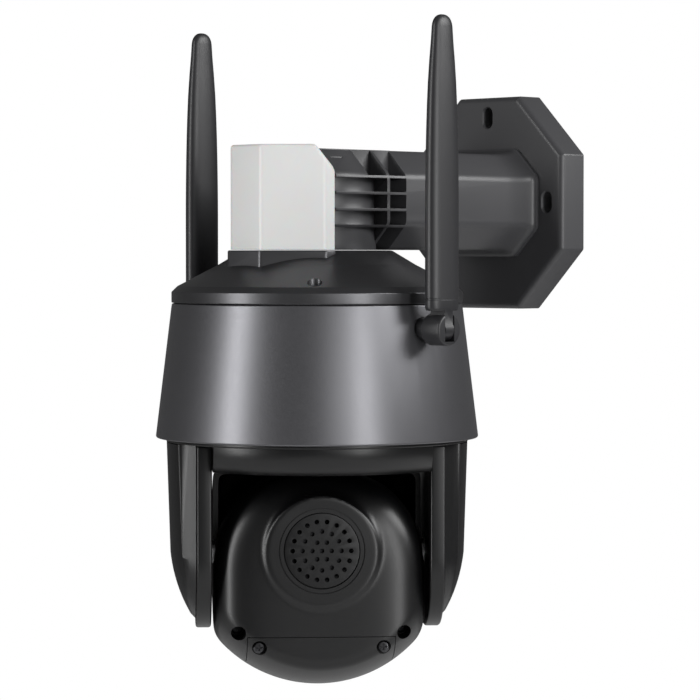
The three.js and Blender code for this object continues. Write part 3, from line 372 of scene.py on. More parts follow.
# The yoke's own frame: x along the tilt axis, y towards the lens, the tilt axis at z = 0.
YOKE_PLACE = Matrix.Translation(TILT_CENTRE) @ Matrix.Rotation(YOKE_TURN, 4, "Z")


def keep(piece, material, body, slot, *nodes, angle=32):
    """The last step for a finished piece: shading, material, body and CAD nodes. The slot is not used."""
    shade(piece, angle)
    piece.data.materials.clear()
    piece.data.materials.append(material)
    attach(piece, body)
    if nodes:
        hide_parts(*nodes)
    print(piece.name, len(piece.data.polygons), "faces")
    return piece

# %% [markdown]
# Colours are given as the hex values a painter would read off a screen, so one function
# turns them to the linear values that shaders need. One more function adds a node with its
# settings and links, and every material below is built with it.

# %% Material helpers
def linear(code):
    values = [int(code[i:i + 2], 16) / 255 for i in (1, 3, 5)]
    return tuple(v / 12.92 if v <= 0.04045 else ((v + 0.055) / 1.055) ** 2.4 for v in values) + (1,)


def add(tree, kind, settings=None, **inputs):
    """Adds a node. A value that is a socket is linked, and any other is set."""
    node = tree.nodes.new(kind)
    for name, value in (settings or {}).items():
        setattr(node, name, value)
    for name, value in inputs.items():
        socket = node.inputs[int(name[1:])] if name[1:].isdigit() else node.inputs[name.replace("_", " ")]
        if isinstance(value, bpy.types.NodeSocket):
            tree.links.new(value, socket)
        else:
            socket.default_value = value
    return node


def new_material(name):
    material = bpy.data.materials.new(name)
    material.use_nodes = True
    tree = material.node_tree
    return material, tree, tree.nodes["Principled BSDF"]


def moulded(name, color, worn, roughness, spread, grain_mm, depth, metallic=0.0, coat=0.0, ior=1.5):
    """Spark-textured plastic or paint: a fine grain in the bump, and broad uneven gloss."""
    material, tree, shader = new_material(name)
    place = add(tree, "ShaderNodeTexCoord")
    grain = add(tree, "ShaderNodeTexNoise", Vector=place.outputs["Object"],
                Scale=1 / (grain_mm * MM), Detail=3.0, Roughness=0.6)
    broad = add(tree, "ShaderNodeTexNoise", Vector=place.outputs["Object"], Scale=26.0, Detail=4.0)
    tint = add(tree, "ShaderNodeMix", {"data_type": "RGBA"}, _0=broad.outputs["Fac"])
    tint.inputs[6].default_value = linear(color)
    tint.inputs[7].default_value = linear(worn)
    gloss = add(tree, "ShaderNodeMapRange", Value=grain.outputs["Fac"],
                From_Min=0.3, From_Max=0.7, To_Min=roughness - spread, To_Max=roughness + spread)
    bump = add(tree, "ShaderNodeBump", Height=grain.outputs["Fac"], Strength=1.0, Distance=depth * MM)
    tree.links.new(tint.outputs[2], shader.inputs["Base Color"])
    tree.links.new(gloss.outputs["Result"], shader.inputs["Roughness"])
    tree.links.new(bump.outputs["Normal"], shader.inputs["Normal"])
    shader.inputs["Metallic"].default_value = metallic
    shader.inputs["Coat Weight"].default_value = coat
    shader.inputs["Coat Roughness"].default_value = 0.2
    if metallic == 0:
        shader.inputs["IOR"].default_value = ior
    return material

# %% [markdown]
# The bracket is sprayed with satin grey paint. The skirt's and the cap's paint is full of fine
# metal flake, so its sheen is broad and slightly grainy. The antennas, the yoke and the ball are
# plain ABS with a spark-eroded texture. One flat colour would look like card, so each finish
# has a grain in its bump and a gloss that varies from place to place.

# %% Paints and plastics
# Satin paint: dull enough that the flats of the arm read as soft grey steps.
bracket_paint = moulded("satin grey bracket paint", "#3c3c3e", "#424244", 0.42, 0.05, 0.5, 0.012, coat=0.1)
# Flake paint: bright in the strips' light and much darker beside them.
skirt_paint = moulded("silver flake skirt paint", "#6f6f72", "#69696c", 0.38, 0.06, 0.55, 0.016, metallic=0.85)
# The same flake in a darker tint, so that the rim gleams and the slope stays dark.
cap_paint = moulded("dark flake cap paint", "#5a5a5c", "#555557", 0.36, 0.05, 0.45, 0.012, metallic=0.85)
# Fine-textured plastic: a long thin gleam down each blade.
antenna_abs = moulded("antenna ABS", "#242426", "#29292b", 0.4, 0.05, 0.4, 0.01)
# Nearly polished black plastic: only its shoulders catch the light.
black_abs = moulded("black satin ABS", "#080809", "#0b0b0c", 0.36, 0.04, 0.4, 0.008)
# Rubber: no gleam at all.
gasket_rubber = moulded("black gasket rubber", "#121213", "#19191a", 0.8, 0.06, 0.3, 0.01)
# Milky gear plastic, slightly waxy.
acetal = moulded("natural acetal", "#e3e0d6", "#d8d5cb", 0.45, 0.05, 0.6, 0.006)
# Shrunk film over the cells, with a clear gloss.
cell_wrap = moulded("blue cell wrap", "#2b5f9e", "#27578f", 0.3, 0.04, 0.8, 0.004, coat=0.3)

# %% [markdown]
# The lamp's cover is frosted polycarbonate, a milky sheet that lets light in and scatters it.
# Subsurface scattering with a short reach gives that soft, deep white without a bright edge.

# %% Frosted lamp cover
# Frost: an even soft white with no sharp reflection.
diffuser, tree, shader = new_material("frosted polycarbonate")
place = add(tree, "ShaderNodeTexCoord")
frost = add(tree, "ShaderNodeTexNoise", Vector=place.outputs["Object"], Scale=1 / (0.6 * MM), Detail=2.0)
frost_bump = add(tree, "ShaderNodeBump", Height=frost.outputs["Fac"], Strength=1.0, Distance=0.006 * MM)
cloud = add(tree, "ShaderNodeTexNoise", Vector=place.outputs["Object"], Scale=40.0, Detail=2.0)
milk = add(tree, "ShaderNodeMix", {"data_type": "RGBA"}, _0=cloud.outputs["Fac"])
milk.inputs[6].default_value = linear("#dededd")
milk.inputs[7].default_value = linear("#e4e4e3")
tree.links.new(milk.outputs[2], shader.inputs["Base Color"])
tree.links.new(frost_bump.outputs["Normal"], shader.inputs["Normal"])
shader.inputs["Roughness"].default_value = 0.38
shader.inputs["IOR"].default_value = 1.58
shader.inputs["Subsurface Weight"].default_value = 0.25
shader.inputs["Subsurface Scale"].default_value = 0.003

# %% [markdown]
# Screws and shafts are steel: bright zinc inside, and black oxide where they show. The glass
# is nearly black, because it passes infra-red. The boards are green solder resist with a
# grid of copper tracks under it.

# %% Metals, glass and boards
def turned_steel(name, color, roughness):
    """Turned or plated steel: fine rings from the tool, drawn coarse enough to see."""
    material, tree, shader = new_material(name)
    place = add(tree, "ShaderNodeTexCoord")
    rings = add(tree, "ShaderNodeTexNoise", Vector=place.outputs["Object"], Scale=1 / (0.35 * MM), Detail=4.0)
    gloss = add(tree, "ShaderNodeMapRange", Value=rings.outputs["Fac"], From_Min=0.3, From_Max=0.7,
                To_Min=roughness - 0.06, To_Max=roughness + 0.08)
    tree.links.new(gloss.outputs["Result"], shader.inputs["Roughness"])
    shader.inputs["Base Color"].default_value = linear(color)
    shader.inputs["Metallic"].default_value = 1.0
    return material


# Zinc: pale, with a soft streaky gleam.
zinc_steel = turned_steel("bright zinc steel", "#b9b9bb", 0.28)
# Black oxide: dark, but with a metal's sharp small highlight.
oxide_steel = turned_steel("black oxide steel", "#4a4a4c", 0.34)

# Smoky glass: lets the lens show faintly behind its reflection.
window_glass, tree, shader = new_material("infra-red window glass")
place = add(tree, "ShaderNodeTexCoord")
smear = add(tree, "ShaderNodeTexNoise", Vector=place.outputs["Object"], Scale=60.0, Detail=3.0)
film = add(tree, "ShaderNodeMapRange", Value=smear.outputs["Fac"], From_Min=0.3, From_Max=0.7,
           To_Min=0.03, To_Max=0.08)
tree.links.new(film.outputs["Result"], shader.inputs["Roughness"])
shader.inputs["Base Color"].default_value = linear("#3a3a42")
shader.inputs["IOR"].default_value = 1.52
shader.inputs["Transmission Weight"].default_value = 0.85

# Coated glass: a deep purple that shifts to blue.
lens_glass, tree, shader = new_material("coated lens glass")
place = add(tree, "ShaderNodeTexCoord")
coating = add(tree, "ShaderNodeTexNoise", Vector=place.outputs["Object"], Scale=90.0, Detail=1.0)
purple = add(tree, "ShaderNodeMix", {"data_type": "RGBA"}, _0=coating.outputs["Fac"])
purple.inputs[6].default_value = linear("#1b1030")
purple.inputs[7].default_value = linear("#0c1a38")
tree.links.new(purple.outputs[2], shader.inputs["Base Color"])
shader.inputs["Roughness"].default_value = 0.04
shader.inputs["IOR"].default_value = 1.7
shader.inputs["Coat Weight"].default_value = 1.0

# Solder resist: green, with the tracks paler under it.
board_resist, tree, shader = new_material("green solder resist")
place = add(tree, "ShaderNodeTexCoord")
tracks = add(tree, "ShaderNodeTexBrick", Vector=place.outputs["Object"], Scale=1 / (6 * MM),
             Color1=linear("#1c5c36"), Color2=linear("#174f2e"), Mortar=linear("#2f7a4a"))
tree.links.new(tracks.outputs["Color"], shader.inputs["Base Color"])
shader.inputs["Roughness"].default_value = 0.35

# %% [markdown]
# The wall plate is an octagonal tray with a well rounded front edge. Its outline is lofted
# back to front, with the last rings drawn in along a quarter circle. A bevel on a plain prism
# would do much the same, but rings keep the edge even round the corners' arcs. The hollow
# back, the slots, each in a sleeve down to the wall, and the cable hole are then cut out.

# %% Wall plate
plate_half = (plate_high.x - plate_low.x) / 2
plate_tall = (plate_high.z - plate_low.z) / 2
PLATE_CHAMFER = 29 * MM
PLATE_WALL = 3.6 * MM
PLATE_EDGE = 3 * MM


def octagon(half_width, half_height, chamfer, radius=0.0, steps=4):
    w, h = half_width - chamfer, half_height - chamfer
    points = [
        (half_width, -h), (half_width, h), (w, half_height), (-w, half_height),
        (-half_width, h), (-half_width, -h), (-w, -half_height), (w, -half_height)]
    return rounded(points, radius, steps) if radius else points


def octagon_ring(y, inset, half_width, half_height, chamfer, radius):
    inner = chamfer - inset * (2 - math.sqrt(2))
    return [(x, y, z) for x, z in octagon(half_width - inset, half_height - inset, inner, radius)]


EDGE_STEPS = 6
levels = [(plate_high.y, 0.0), (plate_low.y + PLATE_EDGE, 0.0)]
for step in range(1, EDGE_STEPS + 1):
    turn = math.pi / 2 * step / EDGE_STEPS
    levels.append((plate_low.y + PLATE_EDGE * (1 - math.sin(turn)), PLATE_EDGE * (1 - math.cos(turn))))
plate = loft("wall_plate_moulding", [
    octagon_ring(y, inset, plate_half, plate_tall, PLATE_CHAMFER, 1.5 * MM) for y, inset in levels])

hollow = push("hollow", octagon(plate_half - PLATE_WALL, plate_tall - PLATE_WALL,
                                PLATE_CHAMFER - PLATE_WALL * (2 - math.sqrt(2))),
              "y", plate_low.y + PLATE_WALL, 0.01)
cut(plate, hollow)
rib = box_piece("rib", (-1.5 * MM, plate_low.y + PLATE_WALL - 1 * MM, plate_low.z + 1 * MM),
                (1.5 * MM, 0, 28 * MM))
join(plate, rib)
pad = push("pad", circle((0, 0), 8 * MM), "y", plate_low.y + PLATE_WALL - 1 * MM, 0)
join(plate, pad)

SLOT_HALF = 2.9 * MM
SLOT_STRAIGHT = 2.1 * MM


def slot_outline(x, z, grow=0.0):
    half = SLOT_HALF + grow
    turns = [math.pi * i / 12 for i in range(13)]
    top = [(x + half * math.cos(t), z + SLOT_STRAIGHT + half * math.sin(t)) for t in turns]
    return top + [(2 * x - a, 2 * z - b) for a, b in top]


slot_side = plate_half - 10 * MM
slot_top = plate_tall - 10 * MM
SLOT_SLEEVE = 2.2 * MM
for x, z in ((0, slot_top), (slot_side, 0), (-slot_side, 0)):
    sleeve = push("sleeve", slot_outline(x, z, SLOT_SLEEVE), "y", plate_low.y + 2 * MM, 0)
    join(plate, sleeve)
    cutter = push("slot", slot_outline(x, z), "y", plate_low.y - 0.01, 0.01)
    cut(plate, cutter)
    lead_in = loft("lead_in", [
        [(a, plate_low.y - 0.1 * MM, b) for a, b in slot_outline(x, z, 0.7 * MM)],
        [(a, plate_low.y + 0.8 * MM, b) for a, b in slot_outline(x, z, -0.1 * MM)]])
    cut(plate, lead_in)
grommet_low, grommet_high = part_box("cable_grommet")
grommet_x = (grommet_low.x + grommet_high.x) / 2
cable_hole = push("cable_hole", circle((grommet_x, 0), 6 * MM), "y", plate_low.y - 0.01, 0.01)
cut(plate, cable_hole)
for side in (-1, 1):
    hole = push("hole", circle((0, side * 15 * MM), 1.8 * MM, 24), "y", plate_low.y - 0.01, 0.01)
    cut(plate, hole)
    bore = push("bore", circle((0, side * 15 * MM), 3.1 * MM, 24), "y", plate_low.y + PLATE_WALL, 0.01)
    cut(plate, bore)
keep(plate, bracket_paint, "housing", "bracket_plastic", "wall_plate")

# %% [markdown]
# The arm is one octagonal tube. Its foot sweeps out to the plate in a concave curve, and its
# head is open on both sides, with pockets round the neck. The thin ribs across the pockets
# repeat, so Geometry Nodes lay one bar at equal steps; an array modifier could too, but the
# tree's inputs name the count and the step.

# %% Bracket arm
arm_half = 31 * MM
arm_tall = 23.25 * MM
ARM_CHAMFER = 12 * MM
ARM_CORNER = 5 * MM
FLARE = 3.2 * MM
FLARE_LENGTH = 13 * MM
POCKET_BACK = PAN_Y + 28 * MM
arm_foot = arm_high.y
arm_tip = arm_low.y
levels = [(arm_foot, -FLARE), (arm_foot - 1.6 * MM, -FLARE)]
for step in range(1, 9):
    turn = math.pi / 2 * step / 8
    levels.append((arm_foot - 1.6 * MM - FLARE_LENGTH * (1 - math.cos(turn)), -FLARE * (1 - math.sin(turn))))
levels.append((POCKET_BACK, 0.0))
arm = loft("arm_casting", [
    octagon_ring(y, inset, arm_half, arm_tall, ARM_CHAMFER, ARM_CORNER) for y, inset in levels])
duct = push("duct", octagon(arm_half - 4 * MM, arm_tall - 4 * MM, ARM_CHAMFER - 2.3 * MM),
            "y", POCKET_BACK + 4 * MM, arm_foot - 4 * MM)
NECK_RADIUS = 27.5 * MM
DECK_HALF = arm_half - ARM_CHAMFER
RIB_LOW, RIB_STEP, RIB_COUNT, RIB_THICK = -12.9 * MM, 7.6 * MM, 4, 1.2 * MM
rib_top = RIB_LOW + RIB_STEP * (RIB_COUNT - 1)
block_section = octagon(arm_half, arm_tall, ARM_CHAMFER, ARM_CORNER)


def arm_slice(name, low, high):
    return push(name, block_section, "y", low, high)


neck = push("neck", circle((PAN_X, PAN_Y), NECK_RADIUS, 96), "z", -arm_tall, rib_top)
trim(neck, box_piece("front", (-FAR, arm_tip, -FAR), (FAR, 0, FAR)))
join(arm, neck)
deck = box_piece("deck", (-DECK_HALF, arm_tip, rib_top - 1 * MM), (DECK_HALF, POCKET_BACK + 1 * MM, arm_tall))
join(arm, deck)
panel = arm_slice("panel", arm_tip, PAN_Y + 3 * MM)
trim(panel, box_piece("above", (-FAR, -1, rib_top), (FAR, 0, FAR)))
join(arm, panel)
cross = arm_slice("cross", PAN_Y + 15.4 * MM, PAN_Y + 17.2 * MM)
join(arm, cross)


def copies_tree(name, points_kind, sizes):
    """Geometry Nodes: the piece's own mesh at every point of a line or a circle, joined.
    sizes holds, for each named input, its socket type and the input it sets on the points."""
    tree = bpy.data.node_groups.new(name, "GeometryNodeTree")
    face = tree.interface
    face.new_socket("Geometry", in_out="INPUT", socket_type="NodeSocketGeometry")
    for label, (kind, _) in sizes.items():
        face.new_socket(label, in_out="INPUT", socket_type=kind)
    face.new_socket("Material", in_out="INPUT", socket_type="NodeSocketMaterial")
    face.new_socket("Geometry", in_out="OUTPUT", socket_type="NodeSocketGeometry")
    source = add(tree, "NodeGroupInput")
    points = add(tree, points_kind, **{goal: source.outputs[label] for label, (_, goal) in sizes.items()})
    copies = add(tree, "GeometryNodeInstanceOnPoints", Points=points.outputs["Mesh"],
                 Instance=source.outputs["Geometry"])
    real = add(tree, "GeometryNodeRealizeInstances", Geometry=copies.outputs["Instances"])
    coloured = add(tree, "GeometryNodeSetMaterial", Geometry=real.outputs["Geometry"],
                   Material=source.outputs["Material"])
    add(tree, "NodeGroupOutput", Geometry=coloured.outputs["Geometry"])
    return tree


def run_tree(piece, tree, **values):
    """Sets the tree's named inputs on the piece, and turns the result into a plain mesh."""
    modifier = piece.modifiers.new("nodes", "NODES")
    for item in tree.interface.items_tree:
        if item.item_type == "SOCKET" and item.in_out == "INPUT" and item.name in values:
            modifier[item.identifier] = values[item.name]
    modifier.node_group = tree
    return settle(piece)


# The layer is a plain bar first. Four copies are laid, and then trimmed to the arm's section.
ribs = box_piece("ribs", (-arm_half, arm_tip, RIB_LOW), (arm_half, POCKET_BACK + 1 * MM, RIB_LOW + RIB_THICK))
ribs.data.materials.append(bracket_paint)
equal_steps = copies_tree("ribs at equal steps", "GeometryNodeMeshLine", {
    "Count": ("NodeSocketInt", "Count"), "Step": ("NodeSocketVector", "Offset")})
run_tree(ribs, equal_steps, Count=RIB_COUNT, Step=(0.0, 0.0, RIB_STEP), Material=bracket_paint)
trim(ribs, arm_slice("trim", arm_tip, POCKET_BACK + 2 * MM))
join(arm, ribs)
cut(arm, duct)
NECK_BORE = 6 * MM
neck_bore = push("neck_bore", circle((PAN_X, PAN_Y), NECK_BORE), "z", -arm_tall - 0.01, 0)
cut(arm, neck_bore)
along = push("along", circle((0, -NECK_BORE / 2), NECK_BORE), "y", PAN_Y, POCKET_BACK + 8 * MM)
cut(arm, along)
cable_way = push("cable_way", circle((grommet_x, 0), NECK_BORE), "y", arm_foot - 8 * MM, 0.01)
cut(arm, cable_way)
for side in (-1, 1):
    slit = box_piece("slit", (side * 23 * MM - 0.3 * MM, arm_tip + 4 * MM, rib_top + 2 * MM),
                     (side * 23 * MM + 0.3 * MM, PAN_Y - 6 * MM, FAR))
    cut(arm, slit)
soften(arm, 0.35 * MM, 2, 40)
keep(arm, bracket_paint, "housing", "bracket_plastic", "bracket_arm")

# %% [markdown]
# The lamp's cover and the cap's pedestal share one plan: a block whose two front corners are
# cut off at 45 degrees. The cover also has a flat across each back top corner, where the arm's
# sloping sides begin. All cuts are made on a sharp block and its edges are rounded after
# that, so every edge gets the same radius, and the hollow is taken out last.

# %% Lamp cover
LAMP_CORNER = 20.8 * MM
LAMP_SHOULDER = (13 * MM, 12 * MM)
SHOULDER_RUN = 13.5 * MM
LAMP_WALL = 2.2 * MM


def lamp_plan(margin, radius):
    half = (lamp_high.x - lamp_low.x) / 2 + margin
    back = lamp_high.y + min(0, margin)
    front = lamp_low.y - margin
    leg = LAMP_CORNER + margin * (2 - math.sqrt(2))
    points = [(half, back), (half, front + leg), (half - leg, front),
              (-half + leg, front), (-half, front + leg), (-half, back)]
    return rounded(points, radius) if radius else points


def lamp_block(name, margin, bottom):
    """The plan pushed up, with a flat cut off each back top corner."""
    half = (lamp_high.x - lamp_low.x) / 2 + margin
    top = lamp_high.z + margin
    across, down = LAMP_SHOULDER
    block = push(name, lamp_plan(margin, 0), "z", bottom, top)
    for side in (-1, 1):
        flat = [Vector((side * half, lamp_high.y, top - down)),
                Vector((side * (half - across), lamp_high.y, top)),
                Vector((side * half, lamp_high.y - SHOULDER_RUN, top))]
        middle = sum(flat, Vector()) / 3
        outward = (flat[1] - flat[0]).cross(flat[2] - flat[0]).normalized()
        if outward.z < 0:
            outward = -outward
        wide = [middle + (corner - middle) * 5 for corner in flat]
        wedge = loft("wedge", [[tuple(corner + outward * rise) for corner in wide] for rise in (0, 30 * MM)])
        cut(block, wedge)
    return block


lamp = lamp_block("lamp_cover_moulding", 0.0, lamp_low.z - 4 * MM)
soften(lamp, 1.5 * MM, 4, 25)
cut(lamp, box_piece("foot", (-FAR, -1, lamp_low.z - 9 * MM), (FAR, 0, lamp_low.z)))
cut(lamp, lamp_block("inside", -LAMP_WALL, lamp_low.z - 1 * MM))
keep(lamp, diffuser, "housing", "lamp_diffuser", "light_cover", angle=25)

# %% [markdown]
# The cap is a turned lid with two slopes and a short upright rim, and a pedestal for the lamp
# grows out of it. A turned profile gives the slopes exact creases, which a subdivided mesh
# would round off. Four deep recesses take the screws, with a boss under each; Geometry Nodes
# place both round the circle of screws.

# %% Top cap
CAP_KNEE = (46 * MM, 6.6 * MM)
CAP_SHOULDER = (65.2 * MM, 16.6 * MM)
CAP_RIM_DROP = 19.3 * MM
CAP_WALL = 2.6 * MM
cap_radius = (cap_high.x - cap_low.x) / 2
cap_top = cap_high.z
rim_top = cap_top - CAP_RIM_DROP
cap_foot = cap_low.z
outer = rounded([
    (0, cap_top), (35 * MM, cap_top), (CAP_KNEE[0], cap_top - CAP_KNEE[1]),
    (CAP_SHOULDER[0], cap_top - CAP_SHOULDER[1]), (cap_radius, rim_top),
    (cap_radius, cap_foot), (cap_radius - CAP_WALL, cap_foot)],
    [0, 3 * MM, 8 * MM, 1.6 * MM, 0.7 * MM, 0.5 * MM, 0], 6, closed=False)
inner = [
    (cap_radius - CAP_WALL, rim_top - CAP_WALL),
    (CAP_SHOULDER[0] - 2 * MM, cap_top - CAP_SHOULDER[1] - CAP_WALL),
    (CAP_KNEE[0] - 1 * MM, cap_top - CAP_KNEE[1] - CAP_WALL),
    (34 * MM, cap_top - CAP_WALL), (0, cap_top - CAP_WALL)]
cap = revolve("cap_moulding", outer + inner, 144)
pedestal = push("pedestal", lamp_plan(1.4 * MM, 2.4 * MM), "z", cap_top - 14 * MM, cap_top)
soften(pedestal, 0.7 * MM, 3, 40)
below = cap_foot - 1 * MM
cap_inside = revolve("cap_inside", [(0, below), (cap_radius - CAP_WALL, below)] + inner, 96)
cut(pedestal, cap_inside)
join(cap, pedestal)

CAP_SCREW_CIRCLE = 61.1 * MM
CAP_SEAT = rim_top + 1.2 * MM
HEAD_RADIUS = 2.8 * MM
HEAD_HEIGHT = 2 * MM
RECESS = 3.4 * MM
round_circle = copies_tree("pieces round a circle", "GeometryNodeMeshCircle", {
    "Count": ("NodeSocketInt", "Vertices"), "Radius": ("NodeSocketFloat", "Radius")})
CORNERS = Matrix.Translation((PAN_X, PAN_Y, 0)) @ Matrix.Rotation(math.radians(45), 4, "Z")
recesses = push("recesses", circle((0, 0), RECESS, 32), "z", CAP_SEAT, cap_top + 1 * MM)
run_tree(recesses, round_circle, Count=4, Radius=CAP_SCREW_CIRCLE, Material=cap_paint)
move(recesses, CORNERS)
bosses = push("bosses", circle((0, 0), 4.6 * MM, 32), "z", cap_foot + 1 * MM, CAP_SEAT)
run_tree(bosses, round_circle, Count=4, Radius=CAP_SCREW_CIRCLE, Material=cap_paint)
move(bosses, CORNERS)
inside_walls = revolve("inside_walls", [(0, cap_foot), (cap_radius - 1 * MM, cap_foot),
                                       (cap_radius - 1 * MM, rim_top - 1 * MM), (0, cap_top - 5 * MM)], 96)
trim(bosses, inside_walls)
join(cap, bosses)
cut(cap, recesses)
cap_bore = push("cap_bore", circle((PAN_X, PAN_Y), NECK_BORE), "z", cap_top - 8 * MM, cap_top + 1 * MM)
cut(cap, cap_bore)
keep(cap, cap_paint, "housing", "cap_plastic", "top_cap")

# %% [markdown]
# The skirt is a thin turned cone, wider at its foot. Its top edge meets the cap in a fine
# shadow line, so both edges get a small radius that catches the strip lights. Many steps
# round the axis keep the broad highlight free of facets.

# %% Skirt
SKIRT_WALL = 2.6 * MM
skirt_top, skirt_foot = skirt_high.z, skirt_low.z
foot_radius = (skirt_high.x - skirt_low.x) / 2
TOP_RADIUS = 67.8 * MM
LIP_INNER = TOP_RADIUS - 11 * MM
lip_foot = skirt_top - 2.5 * MM


def skirt_radius(height):
    return TOP_RADIUS + (foot_radius - TOP_RADIUS) * (skirt_top - height) / (skirt_top - skirt_foot)


outline = rounded([
    (LIP_INNER, skirt_top), (TOP_RADIUS, skirt_top), (foot_radius, skirt_foot),
    (foot_radius - SKIRT_WALL, skirt_foot), (skirt_radius(lip_foot) - SKIRT_WALL, lip_foot),
    (LIP_INNER, lip_foot)],
    [0, 0.8 * MM, 0.9 * MM, 0.9 * MM, 0, 0], 6)
skirt = revolve("skirt_shell", outline, 192)
antenna_joint = Vector(joints["antenna_fold_right"]["pos_m"])
antenna_height = antenna_joint.z
STUB_RADIUS = 5.2 * MM
across = push("across", circle((PAN_Y, antenna_height), STUB_RADIUS + 0.3 * MM), "x", -FAR, FAR)
cut(skirt, across)
keep(skirt, skirt_paint, "housing", "skirt_paint", "skirt_housing")

# %% [markdown]
# Each antenna turns on a round barrel and folds at a hinge in it. The barrel has a slot for
# the blade's tongue. The blade is a flattened tube that narrows to a round tip, with a fine
# joint line near its foot where the moulded collar meets it. It is lofted through rings of
# one shape, since a scaled cylinder could narrow only in a straight line.

# %% Antennas
BARREL_RADIUS = 7.25 * MM
BARREL_START, BARREL_END = -6.4 * MM, 4.9 * MM
BLADE_LENGTH = 141 * MM
BLADE_HALF = 9.3 * MM
BLADE_FLAT = 0.5
BLADE_FOOT = 8.5 * MM
HINGE_HALF = 3 * MM
JOINT_LINE = 13.7 * MM
# (millimetres left to the tip, share of the full width)
TAPER = ((80, .995), (70, .982), (60, .963), (50, .935), (40, .895), (30, .84), (20, .755), (12, .67))
TURN_TO_X = Matrix.Rotation(math.radians(90), 4, "Y")


def barrel(name):
    inside = skirt_radius(antenna_height) - SKIRT_WALL - 6 * MM - antenna_joint.x
    profile = rounded([
        (0, inside), (STUB_RADIUS - 0.8 * MM, inside), (STUB_RADIUS, inside + 5.5 * MM),
        (STUB_RADIUS, BARREL_START), (BARREL_RADIUS, BARREL_START), (BARREL_RADIUS, BARREL_END),
        (0, BARREL_END)],
        [0, 0.3 * MM, 0.3 * MM, 0.2 * MM, 0.9 * MM, 1.1 * MM, 0], 5, closed=False)
    piece = revolve(name, profile, 72, (0, 0))
    move(piece, TURN_TO_X)
    hinge = box_piece("hinge", (-5.4 * MM, -HINGE_HALF, -5.4 * MM), (0.01, HINGE_HALF, 0.02))
    return cut(piece, hinge)


def blade_ring(height, share, steps=48):
    ring = []
    for i in range(steps):
        turn = 2 * math.pi * i / steps
        c, s = math.cos(turn), math.sin(turn)
        ring.append((
            math.copysign(abs(s) ** 0.85, s) * BLADE_HALF * BLADE_FLAT * share,
            math.copysign(abs(c) ** 0.85, c) * BLADE_HALF * share, height))
    return ring


def blade(name):
    stations = [(BLADE_FOOT, 0.9), (BLADE_FOOT + 0.5 * MM, 0.96), (BLADE_FOOT + 1.3 * MM, 0.99)]
    stations += [(JOINT_LINE - 0.5 * MM, 1.0), (JOINT_LINE - 0.25 * MM, 0.965), (JOINT_LINE + 0.25 * MM, 0.965),
                 (JOINT_LINE + 0.5 * MM, 1.0), (BLADE_LENGTH - 88 * MM, 1.0)]
    for left, share in TAPER:
        stations.append((BLADE_LENGTH - left * MM, share))
    tip = [(BLADE_LENGTH - 6 * MM * (1 - math.sin(a)), 0.62 * math.cos(a) ** 0.8)
           for a in (math.radians(v) for v in (5, 20, 35, 50, 62, 73, 82, 88))]
    piece = loft(name, [blade_ring(height, share) for height, share in stations + tip])
    half = HINGE_HALF - 0.3 * MM
    tongue = push("tongue", circle((0, 0), 5 * MM, 40), "y", -half, half)
    wide = BLADE_HALF * BLADE_FLAT - 0.3 * MM
    neck = box_piece("neck", (-wide, -half, 0), (wide, half, BLADE_FOOT + 1 * MM))
    join(piece, tongue)
    join(piece, neck)
    pin = push("pin", circle((0, 0), 1.5 * MM, 24), "y", -0.02, 0.02)
    return cut(piece, pin)


for side, sign in (("right", 1), ("left", -1)):
    place = Matrix.Translation((sign * antenna_joint.x, PAN_Y, antenna_height))
    if sign < 0:
        place = place @ Matrix.Rotation(math.pi, 4, "Z")
    body = "antenna_barrel_" + side
    keep(move(barrel("barrel_" + side), place), antenna_abs, body, "antenna_plastic", "antenna_base_" + side)
    body = "antenna_" + side
    keep(move(blade("blade_" + side), place), antenna_abs, body, "antenna_plastic", "antenna_blade_" + side)

# %% [markdown]
# The ball's main sizes, in millimetres from the tilt axis, stand before the yoke because the
# yoke has to clear the ball's back and the speaker's boss while they tilt past it.

# %% Ball sizes
BALL_RADIUS, BALL_HALF, BALL_REAR = 62.0, 48.7, 36.8
DOME_RADIUS, DOME_DROP = 47.5, 9.0
BOSS_RADIUS, GRILLE_FACE, GRILLE_RISE = 25.7, -37.7, 3.4
BACK_REACH = 42.8
BOSS_REACH = math.hypot(BOSS_RADIUS + GRILLE_RISE, GRILLE_FACE) + 1.3
print("clear of the tilting back", BACK_REACH, "and of the boss", round(BOSS_REACH, 1), "mm")

# %% [markdown]
# The yoke hangs under the skirt. Its disc has a thin rim and a rounded bowl, which is cut
# flat on both sides to let the arms down. The bowl is a turned profile with two cylinders cut
# out across it: they are the very paths of the ball's back and of the boss.

# %% Yoke disc
YOKE_RADIUS = 70.7 * MM
ARM_INNER, ARM_OUTER = 50 * MM, 57 * MM
SEAM = 0.3 * MM
RIM_HEIGHT = 5 * MM
SPINDLE_RADIUS = 10 * MM
rim_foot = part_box("yoke_arm_right")[1].z + SEAM - TILT_CENTRE.z
disc_top = rim_foot + RIM_HEIGHT
ceiling = rim_foot - 12.4 * MM
BOWL_IN = 9.4 * MM
bowl_edge = YOKE_RADIUS - 0.6 * MM
bowl_profile = [(0, rim_foot + 1 * MM), (bowl_edge, rim_foot + 1 * MM), (bowl_edge, rim_foot)]
for i in range(1, 13):
    turn = math.pi / 2 * i / 12
    bowl_profile.append((
        bowl_edge - BOWL_IN * (1 - math.cos(turn)), rim_foot + (ceiling - rim_foot) * math.sin(turn)))
bowl_profile.append((0, ceiling))
bowl = revolve("bowl", bowl_profile, 144, (0, 0))
between = box_piece("between", (-ARM_INNER + SEAM, -FAR, -FAR), (ARM_INNER - SEAM, FAR, FAR))
trim(bowl, between)
rim_profile = rounded(
    [(0, disc_top), (YOKE_RADIUS, disc_top), (YOKE_RADIUS, rim_foot), (0, rim_foot)],
    [0, 0.6 * MM, 0.8 * MM, 0], 5, closed=False)
disc = revolve("yoke_disc_moulding", rim_profile, 144, (0, 0))
join(disc, bowl)
